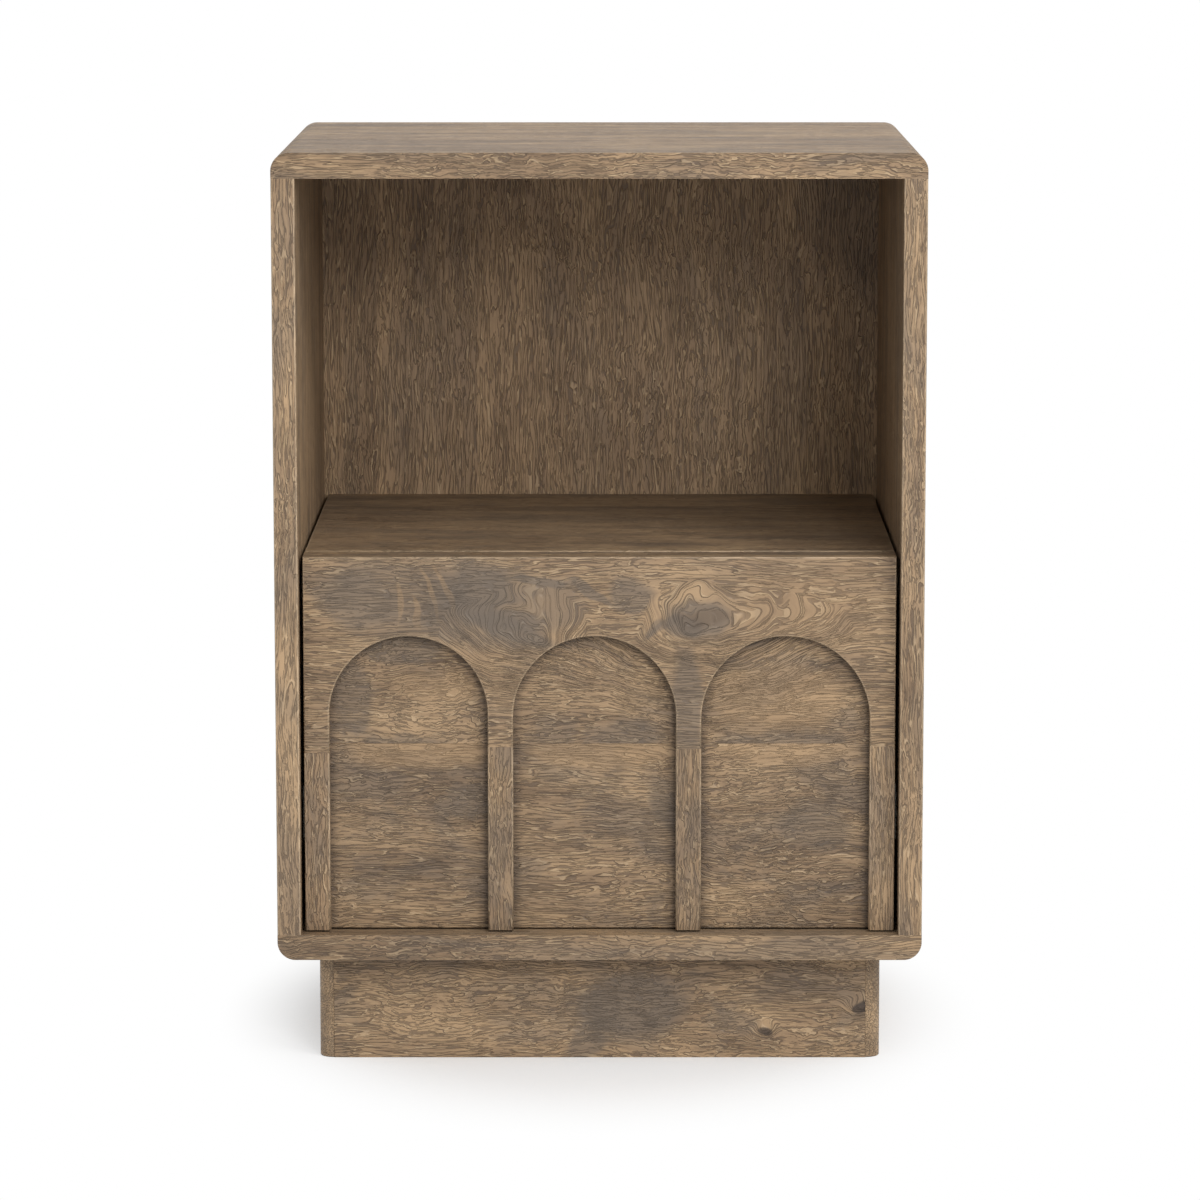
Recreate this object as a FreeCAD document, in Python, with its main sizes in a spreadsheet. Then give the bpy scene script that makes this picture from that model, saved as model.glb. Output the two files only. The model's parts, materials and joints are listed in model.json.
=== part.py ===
import FreeCAD, Part
import math
import os
import Sketcher

# A nightstand in solid wood: an open cubby over one deep drawer, on a set-back plinth.
# Frame: +Z up, X across, the front faces -Y, origin on the floor under the middle of the case.
# All lengths are millimetres.

doc = FreeCAD.newDocument("Nightstand")


# The driving sizes, one row each: name, value, what it is.
SIZE_ROWS = [
    ("case_width", "508", "case, over the two side panels"),
    ("case_depth", "406", "case, front edge to rear edge"),
    ("case_height", "636", "case, without the plinth"),
    ("plinth_height", "86", "floor to the underside of the case"),
    ("side_thickness", "18.5", "side panels"),
    ("top_thickness", "20", "top panel"),
    ("bottom_thickness", "20", "bottom panel"),
    ("case_corner_radius", "14.2", "rounded outer corners of the case seen from the front"),
    ("arris_radius", "1.2", "softened edges of the visible boards"),
    ("back_thickness", "12", "back panel"),
    ("back_rebate", "9", "how far the back panel reaches into the case panels"),
    ("back_clearance", "0.5", "room round the back panel in its rebate"),
    ("drawer_opening_height", "300", "bottom panel to the top of the shelf"),
    ("shelf_thickness", "18", "shelf between cubby and drawer"),
    ("shelf_side_gap", "3", "shadow gap at each end of the shelf"),
    ("shelf_front_gap", "4", "drawer front to the front edge of the shelf"),
    ("cleat_width", "18", "shelf cleats, seen from above"),
    ("cleat_height", "22", "shelf cleats, top to bottom"),
    ("cleat_setback", "10", "side cleats behind the front edge of the shelf"),
    ("front_recess", "12", "drawer front behind the front edges of the case"),
    ("overlay_thickness", "10", "arch board and stiles, the depth of the relief"),
    ("front_board_thickness", "18", "upper and lower board behind the arches"),
    ("front_side_gap", "3", "drawer front to each side panel"),
    ("front_bottom_gap", "1.5", "drawer front to the bottom panel"),
    ("front_top_drop", "0.5", "drawer front below the top of the shelf"),
    ("upper_board_height", "150", "upper board of the drawer front"),
    ("stile_width", "20", "upright stiles beside the arches"),
    ("arch_1_lack", "8", "left arch opening narrower than the right one, as on the real front"),
    ("arch_2_lack", "4.5", "middle arch opening narrower than the right one"),
    ("arch_apex_drop", "63", "top of the drawer front to the top of the arches"),
    ("leg_1_length", "30.75", "head board beside arch 1, below its spring line"),
    ("leg_2_length", "24", "head board between arches 1 and 2, below arch 2's spring line"),
    ("leg_3_length", "23.25", "head board between arches 2 and 3, below arch 3's spring line"),
    ("leg_4_length", "21.25", "head board beside arch 3, below its spring line"),
    ("drawer_rear_gap", "44", "rear of the drawer box to the back panel"),
    ("drawer_box_headroom", "16", "drawer box below the side cleats"),
    ("drawer_box_lift", "12", "drawer box above the bottom panel"),
    ("box_board_thickness", "12", "sides, front and rear of the drawer box"),
    ("drawer_bottom_thickness", "6", "panel in the grooves of the drawer box"),
    ("groove_depth", "6", "groove for the drawer bottom"),
    ("groove_height", "10", "groove above the lower edge of the drawer box"),
    ("groove_clearance", "0.5", "drawer bottom to the end of its groove"),
    ("slide_front_gap", "6", "front ends of the slides behind the drawer front"),
    ("slide_rear_gap", "4", "rear ends of the slides before the rear of the drawer box"),
    ("slide_width", "12.7", "side panel to drawer box"),
    ("slide_height", "45", "case member of the slides"),
    ("slide_centre_height", "90", "middle of the slides above the bottom panel"),
    ("slide_sheet", "1.2", "steel of the slide members"),
    ("lip_gap", "1.8", "outer balls to the lips of the case member"),
    ("flange_lip", "1.2", "turned-in lip of the case member"),
    ("outer_web_gap", "0.4", "web of the outer retainers to the webs beside it"),
    ("middle_flange", "7", "reach of the middle member's flanges"),
    ("inner_web_gap", "0.5", "web of the inner retainers to the webs beside it"),
    ("ball_radius", "1.5", "balls of the slides"),
    ("ball_clearance", "0.15", "ball to each race"),
    ("retainer_sheet", "0.6", "steel of the ball retainers"),
    ("retainer_length", "140", "ball retainers"),
    ("outer_retainer_margin", "1.4", "outer balls to the edge of their retainer"),
    ("inner_retainer_margin", "0.5", "inner balls to the edge of their retainer"),
    ("outer_ball_line", "5.5", "side panel to the outer rows of balls"),
    ("inner_ball_line", "7", "side panel to the inner rows of balls"),
    ("retainer_hole_clearance", "0.05", "ball to its hole in the retainer"),
    ("plinth_inset", "31", "plinth inside the outline of the case, all round"),
    ("plinth_board_thickness", "18", "plinth boards"),
    ("plinth_land", "0.5", "end of the front board to where the corner's rounding starts"),
    ("plinth_corner_radius", "11", "rounded upright corners of the plinth"),
    ("block_width", "24", "glue blocks in the plinth corners"),
    ("block_height", "60", "glue blocks, downwards from the case"),
    ("dowel_radius", "4", "case dowels"),
    ("dowel_length", "30", "case dowels"),
    ("dowel_depth", "12", "case dowels, part in the top or bottom panel"),
    ("box_dowel_radius", "3", "drawer box dowels"),
    ("box_dowel_length", "32", "drawer box dowels"),
    ("wood_screw_radius", "1.75", "shank of the wood screws"),
    ("wood_screw_head_radius", "3.5", "countersunk heads of the wood screws"),
    ("wood_screw_head_height", "2", "countersunk heads of the wood screws"),
    ("back_screw_bite", "13", "back panel screws, length in the case panels"),
    ("cleat_screw_bite", "12", "side cleat screws, length in the side panels"),
    ("shelf_screw_bite", "13", "shelf screws, length in the shelf"),
    ("block_screw_bite", "12", "long plinth screws, length in the bottom panel"),
    ("plinth_screw_bite", "12", "short plinth screws, length in the plinth boards"),
    ("plinth_screw_stagger", "6", "plinth screws beside the middle of the block"),
    ("front_screw_bite", "12", "drawer front screws, length in the front boards"),
    ("front_screw_head_radius", "4", "raised heads of the drawer front screws"),
    ("front_screw_dowel_gap", "8", "outer drawer front screws to the ends of the box dowels"),
    ("case_slide_screw_bite", "12.8", "case member screws, length in the side panels"),
    ("drawer_slide_screw_bite", "9.3", "drawer member screws, length in the drawer sides"),
    ("slide_screw_head_radius", "3.2", "flush heads of the slide screws"),
    ("slide_screw_head_height", "1.6", "flush heads of the slide screws"),
    ("latch_height", "134", "touch latch above the bottom panel"),
    ("latch_plate_width", "50", "base plate of the touch latch"),
    ("latch_plate_height", "18", "base plate of the touch latch"),
    ("latch_plate_thickness", "3", "base plate and ears of the touch latch"),
    ("latch_body_length", "22", "latch housing, off its base plate"),
    ("latch_body_radius", "8", "latch housing"),
    ("collar_clearance", "0.5", "collar of the plunger in the latch housing"),
    ("latch_neck_length", "3", "front wall of the latch housing"),
    ("plunger_radius", "4", "latch plunger"),
    ("plunger_clearance", "0.05", "plunger in the neck of the housing"),
    ("plunger_collar_radius", "5.5", "collar that holds the plunger in"),
    ("plunger_collar_length", "2", "collar that holds the plunger in"),
    ("plunger_tail_room", "5", "collar to the base plate, the push stroke and spare"),
    ("spring_clearance", "0.3", "latch spring in the bore of the plunger"),
    ("plunger_nose", "6", "solid front end of the plunger"),
    ("magnet_thickness", "3", "magnet on the tip of the plunger"),
    ("magnet_gap", "0.3", "magnet to the strike plate"),
    ("spring_radius", "2", "latch spring, middle of its wire"),
    ("spring_wire_radius", "0.3", "latch spring wire"),
    ("spring_pitch", "2", "latch spring, turn to turn"),
    ("spring_end_gap", "0.2", "latch spring to its two seats"),
    ("strike_width", "34", "strike plate on the drawer box"),
    ("strike_height", "16", "strike plate on the drawer box"),
    ("strike_thickness", "1.5", "strike plate on the drawer box"),
    ("small_screw_radius", "1.25", "shank of the latch and strike screws"),
    ("small_screw_head_radius", "2.6", "heads of the latch and strike screws"),
    ("small_screw_head_height", "1.2", "heads of the latch and strike screws"),
    ("latch_screw_bite", "8", "touch latch screws, length in the back panel"),
    ("strike_screw_bite", "8.5", "strike plate screws, length in the drawer box"),
    ("overrun", "2", "how far a cutting shape runs past what it cuts"),
]

# Places worked out from the sizes, one row each: name, formula, what it is.
PLACE_ROWS = [
    ("right_x", "=Sizes.case_width / 2", "outer face of the right side panel"),
    ("left_x", "=-right_x", "outer face of the left side panel"),
    ("inner_x", "=right_x - Sizes.side_thickness", "inner face of the right side panel"),
    ("left_inner_x", "=-inner_x", "inner face of the left side panel"),
    ("rear_y", "=Sizes.case_depth / 2", "rear edges of the case"),
    ("front_y", "=-rear_y", "front edges of the case"),
    ("bottom_top", "=Sizes.plinth_height + Sizes.bottom_thickness", "top face of the bottom panel"),
    ("case_top", "=Sizes.plinth_height + Sizes.case_height", "top face of the case"),
    ("top_under", "=case_top - Sizes.top_thickness", "underside of the top panel"),
    ("back_front_y", "=rear_y - Sizes.back_thickness", "front face of the back panel"),
    ("rebate_x", "=inner_x + Sizes.back_rebate", "outer wall of the back rebate"),
    ("rebate_low", "=bottom_top - Sizes.back_rebate", "lower wall of the back rebate"),
    ("rebate_high", "=top_under + Sizes.back_rebate", "upper wall of the back rebate"),
    ("shelf_top", "=bottom_top + Sizes.drawer_opening_height", "top face of the shelf"),
    ("shelf_under", "=shelf_top - Sizes.shelf_thickness", "underside of the shelf"),
    ("shelf_x", "=inner_x - Sizes.shelf_side_gap", "right end of the shelf"),
    ("cleat_low", "=shelf_under - Sizes.cleat_height", "underside of the cleats"),
    ("cleat_x", "=inner_x - Sizes.cleat_width", "inner face of the right cleat"),
    ("overlay_y", "=front_y + Sizes.front_recess", "front face of the arch board"),
    ("board_y", "=overlay_y + Sizes.overlay_thickness", "front face of the boards behind it"),
    ("box_front_y", "=board_y + Sizes.front_board_thickness", "rear face of the drawer front"),
    ("box_rear_y", "=back_front_y - Sizes.drawer_rear_gap", "rear face of the drawer box"),
    ("shelf_front_y", "=box_front_y + Sizes.shelf_front_gap", "front edge of the shelf"),
    ("cleat_front_y", "=shelf_front_y + Sizes.cleat_setback", "front ends of the side cleats"),
    ("rear_cleat_y", "=back_front_y - Sizes.cleat_width", "front face of the rear cleat"),
    ("front_right", "=inner_x - Sizes.front_side_gap", "right edge of the drawer front"),
    ("front_left", "=-front_right", "left edge of the drawer front"),
    ("front_base", "=bottom_top + Sizes.front_bottom_gap", "lower edge of the drawer front"),
    ("front_top", "=shelf_top - Sizes.front_top_drop", "upper edge of the drawer front"),
    ("seam_height", "=front_top - Sizes.upper_board_height", "seam of the two front boards"),
    ("arches_width", "=front_right - front_left - 4 * Sizes.stile_width", "the three openings together"),
    ("arch_3_width", "=(arches_width + Sizes.arch_1_lack + Sizes.arch_2_lack) / 3", "right arch opening"),
    ("stile_1_right", "=front_left + Sizes.stile_width", "left side of arch 1"),
    ("stile_2_left", "=stile_1_right + arch_3_width - Sizes.arch_1_lack", "right side of arch 1"),
    ("stile_2_right", "=stile_2_left + Sizes.stile_width", "left side of arch 2"),
    ("stile_3_left", "=stile_2_right + arch_3_width - Sizes.arch_2_lack", "right side of arch 2"),
    ("stile_3_right", "=stile_3_left + Sizes.stile_width", "left side of arch 3"),
    ("stile_4_left", "=front_right - Sizes.stile_width", "right side of arch 3"),
    ("arch_apex", "=front_top - Sizes.arch_apex_drop", "top of the arches"),
    ("spring_1", "=arch_apex - (stile_2_left - stile_1_right) / 2", "where arch 1 starts to bend"),
    ("spring_2", "=arch_apex - (stile_3_left - stile_2_right) / 2", "where arch 2 starts to bend"),
    ("spring_3", "=arch_apex - (stile_4_left - stile_3_right) / 2", "where arch 3 starts to bend"),
    ("joint_1", "=spring_1 - Sizes.leg_1_length", "top of stile 1"),
    ("joint_2", "=spring_2 - Sizes.leg_2_length", "top of stile 2"),
    ("joint_3", "=spring_3 - Sizes.leg_3_length", "top of stile 3"),
    ("joint_4", "=spring_3 - Sizes.leg_4_length", "top of stile 4"),
    ("box_x", "=inner_x - Sizes.slide_width", "outer face of the drawer box"),
    ("box_inner_x", "=box_x - Sizes.box_board_thickness", "inner face of the drawer box"),
    ("box_base", "=bottom_top + Sizes.drawer_box_lift", "lower edge of the drawer box"),
    ("box_top", "=cleat_low - Sizes.drawer_box_headroom", "upper edge of the drawer box"),
    ("box_board_y", "=box_front_y + Sizes.box_board_thickness", "rear face of the box front"),
    ("box_rear_board_y", "=box_rear_y - Sizes.box_board_thickness", "front face of the box rear"),
    ("groove_low", "=box_base + Sizes.groove_height", "underside of the drawer bottom"),
    ("groove_high", "=groove_low + Sizes.drawer_bottom_thickness", "top of the drawer bottom"),
    ("slide_front_y", "=box_front_y + Sizes.slide_front_gap", "front ends of the slides"),
    ("slide_rear_y", "=box_rear_y - Sizes.slide_rear_gap", "rear ends of the slides"),
    ("slide_z", "=bottom_top + Sizes.slide_centre_height", "middle of the slides"),
    ("case_member_reach", "=Sizes.outer_ball_line + Sizes.ball_radius + Sizes.lip_gap + Sizes.slide_sheet",
     "side panel to the free edge of the case member"),
    ("outer_retainer_start", "=Sizes.slide_sheet + Sizes.outer_web_gap",
     "side panel to the web of the outer retainers"),
    ("outer_retainer_reach", "=Sizes.outer_ball_line + Sizes.ball_radius + Sizes.outer_retainer_margin",
     "side panel to the free edge of the outer retainers"),
    ("middle_start", "=outer_retainer_start + Sizes.retainer_sheet + Sizes.outer_web_gap",
     "side panel to the web of the middle member"),
    ("middle_reach", "=middle_start + Sizes.middle_flange",
     "side panel to the free edge of the middle member"),
    ("inner_retainer_start", "=middle_start + Sizes.slide_sheet + Sizes.inner_web_gap",
     "side panel to the web of the inner retainers"),
    ("inner_retainer_reach", "=Sizes.inner_ball_line + Sizes.ball_radius + Sizes.inner_retainer_margin",
     "side panel to the free edge of the inner retainers"),
    ("drawer_member_start", "=inner_retainer_start + Sizes.retainer_sheet + Sizes.inner_web_gap",
     "side panel to the free edge of the drawer member"),
    ("case_member_half", "=Sizes.slide_height / 2", "half height of the case member"),
    ("race_step", "=Sizes.slide_sheet + 2 * (Sizes.ball_radius + Sizes.ball_clearance)",
     "from one member to the next within it"),
    ("middle_half", "=case_member_half - race_step", "half height of the middle member"),
    ("drawer_member_half", "=middle_half - race_step", "half height of the drawer member"),
    ("outer_ball_rise", "=middle_half + Sizes.ball_clearance + Sizes.ball_radius",
     "outer balls above the middle of the slide"),
    ("inner_ball_rise", "=drawer_member_half + Sizes.ball_clearance + Sizes.ball_radius",
     "inner balls above the middle of the slide"),
    ("retainer_front_y", "=(slide_front_y + slide_rear_y - Sizes.retainer_length) / 2",
     "front ends of the retainers"),
    ("retainer_rear_y", "=retainer_front_y + Sizes.retainer_length", "rear ends of the retainers"),
    ("plinth_x", "=right_x - Sizes.plinth_inset", "outer face of the right plinth board"),
    ("plinth_y", "=rear_y - Sizes.plinth_inset", "outer face of the rear plinth board"),
    ("plinth_inner_x", "=plinth_x - Sizes.plinth_board_thickness", "inner face at the right"),
    ("plinth_inner_y", "=plinth_y - Sizes.plinth_board_thickness", "inner face at the rear"),
    ("plinth_tongue_x", "=plinth_x - Sizes.plinth_corner_radius - Sizes.plinth_land",
     "right end of the front board"),
    ("block_low", "=Sizes.plinth_height - Sizes.block_height", "underside of the glue blocks"),
    ("block_x", "=plinth_inner_x - Sizes.block_width", "inner face of the right glue blocks"),
    ("block_y", "=plinth_inner_y - Sizes.block_width", "inner face of the rear glue blocks"),
    ("latch_z", "=bottom_top + Sizes.latch_height", "axis of the touch latch"),
    ("latch_plate_y", "=back_front_y - Sizes.latch_plate_thickness", "front of the base plate"),
    ("latch_ear_y", "=latch_plate_y - Sizes.latch_plate_thickness", "front of the housing's ears"),
    ("latch_front_y", "=latch_plate_y - Sizes.latch_body_length", "front end of the housing"),
    ("strike_y", "=box_rear_y + Sizes.strike_thickness", "rear face of the strike plate"),
    ("magnet_y", "=strike_y + Sizes.magnet_gap", "tip of the magnet"),
    ("plunger_y", "=magnet_y + Sizes.magnet_thickness", "front end of the plunger"),
    ("bore_y", "=plunger_y + Sizes.plunger_nose", "closed end of the spring bore"),
    ("bore_radius", "=Sizes.spring_radius + Sizes.spring_wire_radius + Sizes.spring_clearance",
     "spring bore in the plunger"),
    ("cavity_radius", "=Sizes.plunger_collar_radius + Sizes.collar_clearance",
     "room for the collar in the latch housing"),
    ("plunger_rear_y", "=latch_plate_y - Sizes.plunger_tail_room", "rear end of the plunger"),
    ("collar_y", "=plunger_rear_y - Sizes.plunger_collar_length", "front of the collar"),
]

# Where fasteners sit, as shares of the length of the piece that they hold.
CASE_DOWEL_SHARES = (-0.40, -0.13, 0.13, 0.38)
BACK_SIDE_SHARES = (0.05, 0.28, 0.5, 0.72, 0.95)
BACK_EDGE_SHARES = (-0.32, 0.0, 0.32)
CLEAT_SCREW_SHARES = (0.12, 0.5, 0.88)
REAR_CLEAT_SHARES = (-0.36, 0.36)
SHELF_SCREW_SHARES = (0.3, 0.7)
BOX_DOWEL_SHARES = (0.16, 0.5, 0.84)
FRONT_SCREW_SHARES = (-1.0, 0.0, 1.0)
SLIDE_SCREW_SHARES = (0.08, 0.5, 0.92)
PLINTH_SCREW_SHARES = (0.35, 0.7)
STRIKE_SCREW_SHARE = 0.35
LATCH_SCREW_SHARE = 0.38
BALL_COUNT = 8
MATCH = 0.01


def write_sheet(name, rows):
    """A spreadsheet with one named row for each size."""
    sheet = doc.addObject("Spreadsheet::Sheet", name)
    for number, (alias, content, note) in enumerate(rows, start=1):
        sheet.set("A%d" % number, note)
        sheet.set("B%d" % number, content)
        sheet.setAlias("B%d" % number, alias)
    return sheet


sizes = write_sheet("Sizes", SIZE_ROWS)
places = write_sheet("Places", PLACE_ROWS)
doc.recompute()


def size(alias):
    return float(sizes.get(alias))


def place(alias):
    return float(places.get(alias))


# Helpers that build bodies whose sizes are bound to the two sheets.
def new_body(name):
    return doc.addObject("PartDesign::Body", name)


def origin_part(body, role):
    """One of the body's own origin planes or axes."""
    for feature in body.Origin.OriginFeatures:
        if feature.Role == role:
            return feature
    raise RuntimeError("no origin feature " + role)


def box_in(body, kind, name, low, high):
    """An additive or subtractive box between two corners, each three expressions."""
    box = body.newObject("PartDesign::" + kind + "Box", name)
    for length, start, end in zip(("Length", "Width", "Height"), low, high):
        box.setExpression(length, "(%s) - (%s)" % (end, start))
    for axis, start in zip("xyz", low):
        box.setExpression("Placement.Base." + axis, start)
    return box


def cylinder_in(body, kind, name, radius, start, end, across, up):
    """An additive or subtractive cylinder along Y, from start to end."""
    cylinder = body.newObject("PartDesign::" + kind + "Cylinder", name)
    turn = FreeCAD.Rotation(FreeCAD.Vector(1, 0, 0), -90)
    cylinder.Placement = FreeCAD.Placement(FreeCAD.Vector(0, 0, 0), turn)
    cylinder.setExpression("Radius", radius)
    cylinder.setExpression("Height", "(%s) - (%s)" % (end, start))
    cylinder.setExpression("Placement.Base.x", across)
    cylinder.setExpression("Placement.Base.y", start)
    cylinder.setExpression("Placement.Base.z", up)
    return cylinder


def board(name, low, high):
    """A plain board as a body with one box."""
    body = new_body(name)
    box_in(body, "Additive", name + "_blank", low, high)
    return body


def round_edges(body, name, radius, wanted):
    """Round the edges of the body whose bounding box passes the test."""
    doc.recompute()
    base = body.Tip
    chosen = []
    for number, edge in enumerate(base.Shape.Edges, start=1):
        if wanted(edge.BoundBox):
            chosen.append("Edge%d" % number)
    fillet = body.newObject("PartDesign::Fillet", name)
    fillet.Base = (base, chosen)
    fillet.setExpression("Radius", radius)
    return fillet


def near(first, second):
    return abs(first - second) < MATCH


def upright_at(box, x, y):
    """True for the bounding box of an upright edge at x, y."""
    return near(box.XMin, x) and near(box.XMax, x) and near(box.YMin, y) and near(box.YMax, y)


def along_y_at(box, x, z):
    """True for the bounding box of a straight edge that runs front to rear at x, z."""
    return near(box.XMin, x) and near(box.XMax, x) and near(box.ZMin, z) and near(box.ZMax, z)


def across_at(box, y, z):
    """True for the bounding box of a straight edge that runs left to right at y, z."""
    return near(box.YMin, y) and near(box.YMax, y) and near(box.ZMin, z) and near(box.ZMax, z)


def bored(name, blank, tools):
    """The blank with the holes for its fasteners."""
    cut = doc.addObject("Part::Cut", name)
    cut.Base = blank
    if len(tools) == 1:
        cut.Tool = tools[0]
    else:
        group = doc.addObject("Part::Compound", name + "_holes")
        group.Links = tools
        cut.Tool = group
    return cut


def mirrored(name, source):
    """The right-hand twin of a left-hand piece."""
    twin = doc.addObject("Part::Mirroring", name)
    twin.Source = source
    twin.Normal = (1, 0, 0)
    twin.Base = (0, 0, 0)
    return twin


def group_of(name, shapes):
    """Identical fasteners or balls as separate solids in one node."""
    group = doc.addObject("Part::Feature", name)
    group.Shape = Part.Compound(shapes)
    return group


def screw_shape(radius, length, head_radius, head_height, raised):
    """A screw along +Z with its bearing level at zero: a flush or a raised head."""
    tip = 2 * radius
    if raised:
        head = Part.makeCylinder(head_radius, head_height, FreeCAD.Vector(0, 0, -head_height))
        shank = Part.makeCylinder(radius, length - tip)
    else:
        head = Part.makeCone(head_radius, radius, head_height)
        start = FreeCAD.Vector(0, 0, head_height)
        shank = Part.makeCylinder(radius, length - tip - head_height, start)
    point = Part.makeCone(radius, 0, tip, FreeCAD.Vector(0, 0, length - tip))
    return head.fuse([shank, point]).removeSplitter()


def pointing(shape, spot, direction):
    """A copy of a fastener moved to its spot and turned to its direction."""
    copy = shape.copy()
    turn = FreeCAD.Rotation(FreeCAD.Vector(0, 0, 1), FreeCAD.Vector(*direction))
    copy.Placement = FreeCAD.Placement(FreeCAD.Vector(*spot), turn)
    return copy


def between(start, end, share):
    return start + (end - start) * share


RIGHT = (1, 0, 0)
LEFT = (-1, 0, 0)
FORWARD = (0, -1, 0)
REARWARD = (0, 1, 0)
UP = (0, 0, 1)
DOWN = (0, 0, -1)
SIDES = (-1, 1)


# Case dowels: glued beech dowels that join the side panels to the top and bottom panels.
def case_dowel_shapes():
    peg = Part.makeCylinder(size("dowel_radius"), size("dowel_length"))
    middle = place("right_x") - size("side_thickness") / 2
    low = place("bottom_top") - size("dowel_depth")
    high = place("top_under") + size("dowel_depth") - size("dowel_length")
    shapes = []
    for side in SIDES:
        for share in CASE_DOWEL_SHARES:
            for height in (low, high):
                spot = (side * middle, share * size("case_depth"), height)
                shapes.append(pointing(peg, spot, UP))
    return shapes


case_dowels = group_of("case_dowels", case_dowel_shapes())


# Back panel screws: flush, from behind, into the case panels and the rear cleat.
def back_screw_shapes():
    screw = screw_shape(size("wood_screw_radius"), size("back_thickness") + size("back_screw_bite"),
                        size("wood_screw_head_radius"), size("wood_screw_head_height"), False)
    inward = (size("back_rebate") - size("back_clearance")) / 2
    edge_x = place("inner_x") + inward
    low = place("bottom_top") - inward
    high = place("top_under") + inward
    spots = []
    for side in SIDES:
        for share in BACK_SIDE_SHARES:
            spots.append((side * edge_x, between(low, high, share)))
    for share in BACK_EDGE_SHARES:
        spots.append((share * size("case_width"), low))
        spots.append((share * size("case_width"), high))
    cleat_middle = place("shelf_under") - size("cleat_height") / 2
    for share in REAR_CLEAT_SHARES:
        spots.append((share * size("case_width"), cleat_middle))
    return [pointing(screw, (x, place("rear_y"), z), FORWARD) for x, z in spots]


back_panel_screws = group_of("back_panel_screws", back_screw_shapes())


# Cleat screws: flush, through each side cleat into its side panel.
def cleat_screw_shapes():
    screw = screw_shape(size("wood_screw_radius"), size("cleat_width") + size("cleat_screw_bite"),
                        size("wood_screw_head_radius"), size("wood_screw_head_height"), False)
    middle = place("shelf_under") - size("cleat_height") / 2
    shapes = []
    for side, direction in ((-1, LEFT), (1, RIGHT)):
        for share in CLEAT_SCREW_SHARES:
            y = between(place("cleat_front_y"), place("rear_cleat_y"), share)
            shapes.append(pointing(screw, (side * place("cleat_x"), y, middle), direction))
    return shapes


cleat_screws = group_of("cleat_screws", cleat_screw_shapes())


# Shelf screws: flush, up through the cleats into the shelf.
def shelf_screw_shapes():
    screw = screw_shape(size("wood_screw_radius"), size("cleat_height") + size("shelf_screw_bite"),
                        size("wood_screw_head_radius"), size("wood_screw_head_height"), False)
    middle = place("inner_x") - size("cleat_width") / 2
    spots = []
    for side in SIDES:
        for share in SHELF_SCREW_SHARES:
            spots.append((side * middle, between(place("cleat_front_y"), place("back_front_y"), share)))
    spots.append((0, place("back_front_y") - size("cleat_width") / 2))
    return [pointing(screw, (x, y, place("cleat_low")), UP) for x, y in spots]


shelf_screws = group_of("shelf_screws", shelf_screw_shapes())


# Plinth screws: from each glue block into both plinth boards, and up into the bottom panel.
def plinth_screw_shapes():
    head = (size("wood_screw_head_radius"), size("wood_screw_head_height"), False)
    short = screw_shape(size("wood_screw_radius"), size("block_width") + size("plinth_screw_bite"), *head)
    tall = screw_shape(size("wood_screw_radius"), size("block_height") + size("block_screw_bite"), *head)
    x = place("block_x")
    y = place("block_y")
    middle_x = x + size("block_width") / 2
    middle_y = y + size("block_width") / 2
    aside = size("plinth_screw_stagger")
    heights = [between(place("block_low"), size("plinth_height"), share)
               for share in PLINTH_SCREW_SHARES]
    shapes = []
    for side, outward in ((-1, LEFT), (1, RIGHT)):
        for end, towards in ((-1, FORWARD), (1, REARWARD)):
            up_spot = (side * middle_x, end * middle_y, place("block_low"))
            side_spot = (side * x, end * (middle_y - aside), heights[0])
            end_spot = (side * (middle_x - aside), end * y, heights[1])
            shapes.append(pointing(tall, up_spot, UP))
            shapes.append(pointing(short, side_spot, outward))
            shapes.append(pointing(short, end_spot, towards))
    return shapes


plinth_screws = group_of("plinth_screws", plinth_screw_shapes())


# Slide screws: flush in the webs, so that the next member passes over them.
def slide_screw_spots():
    return [between(place("slide_front_y"), place("slide_rear_y"), share)
            for share in SLIDE_SCREW_SHARES]


def slide_screw_shapes(length, web_x, inward):
    screw = screw_shape(size("wood_screw_radius"), length, size("slide_screw_head_radius"),
                        size("slide_screw_head_height"), False)
    shapes = []
    for side in SIDES:
        direction = (-side * inward, 0, 0)
        for y in slide_screw_spots():
            shapes.append(pointing(screw, (side * web_x, y, place("slide_z")), direction))
    return shapes


slide_case_screws = group_of("slide_case_screws", slide_screw_shapes(
    size("slide_sheet") + size("case_slide_screw_bite"), place("inner_x") - size("slide_sheet"), -1))
slide_drawer_screws = group_of("slide_drawer_screws", slide_screw_shapes(
    size("slide_sheet") + size("drawer_slide_screw_bite"), place("box_x") + size("slide_sheet"), 1))


# Top panel: lies over the side panels, with rounded outer corners and a rebate for the back.
def make_top_panel():
    body = board("top_panel_board",
                 ("Places.left_x", "Places.front_y", "Places.top_under"),
                 ("Places.right_x", "Places.rear_y", "Places.case_top"))
    box_in(body, "Subtractive", "top_rebate",
           ("-Places.rebate_x", "Places.back_front_y", "Places.top_under - Sizes.overrun"),
           ("Places.rebate_x", "Places.rear_y + Sizes.overrun", "Places.rebate_high"))
    left, right, top = place("left_x"), place("right_x"), place("case_top")
    round_edges(body, "top_corners", "Sizes.case_corner_radius",
                lambda box: along_y_at(box, left, top) or along_y_at(box, right, top))
    front, rear, under = place("front_y"), place("rear_y"), place("top_under")

    def outer_edge(box):
        at_end = near(box.YMin, box.YMax) and (near(box.YMin, front) or near(box.YMin, rear))
        return at_end and box.ZMax > under + size("back_rebate") + MATCH
    round_edges(body, "top_arrises", "Sizes.arris_radius", outer_edge)
    return bored("top_panel", body, [case_dowels, back_panel_screws])


top_panel = make_top_panel()


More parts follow.
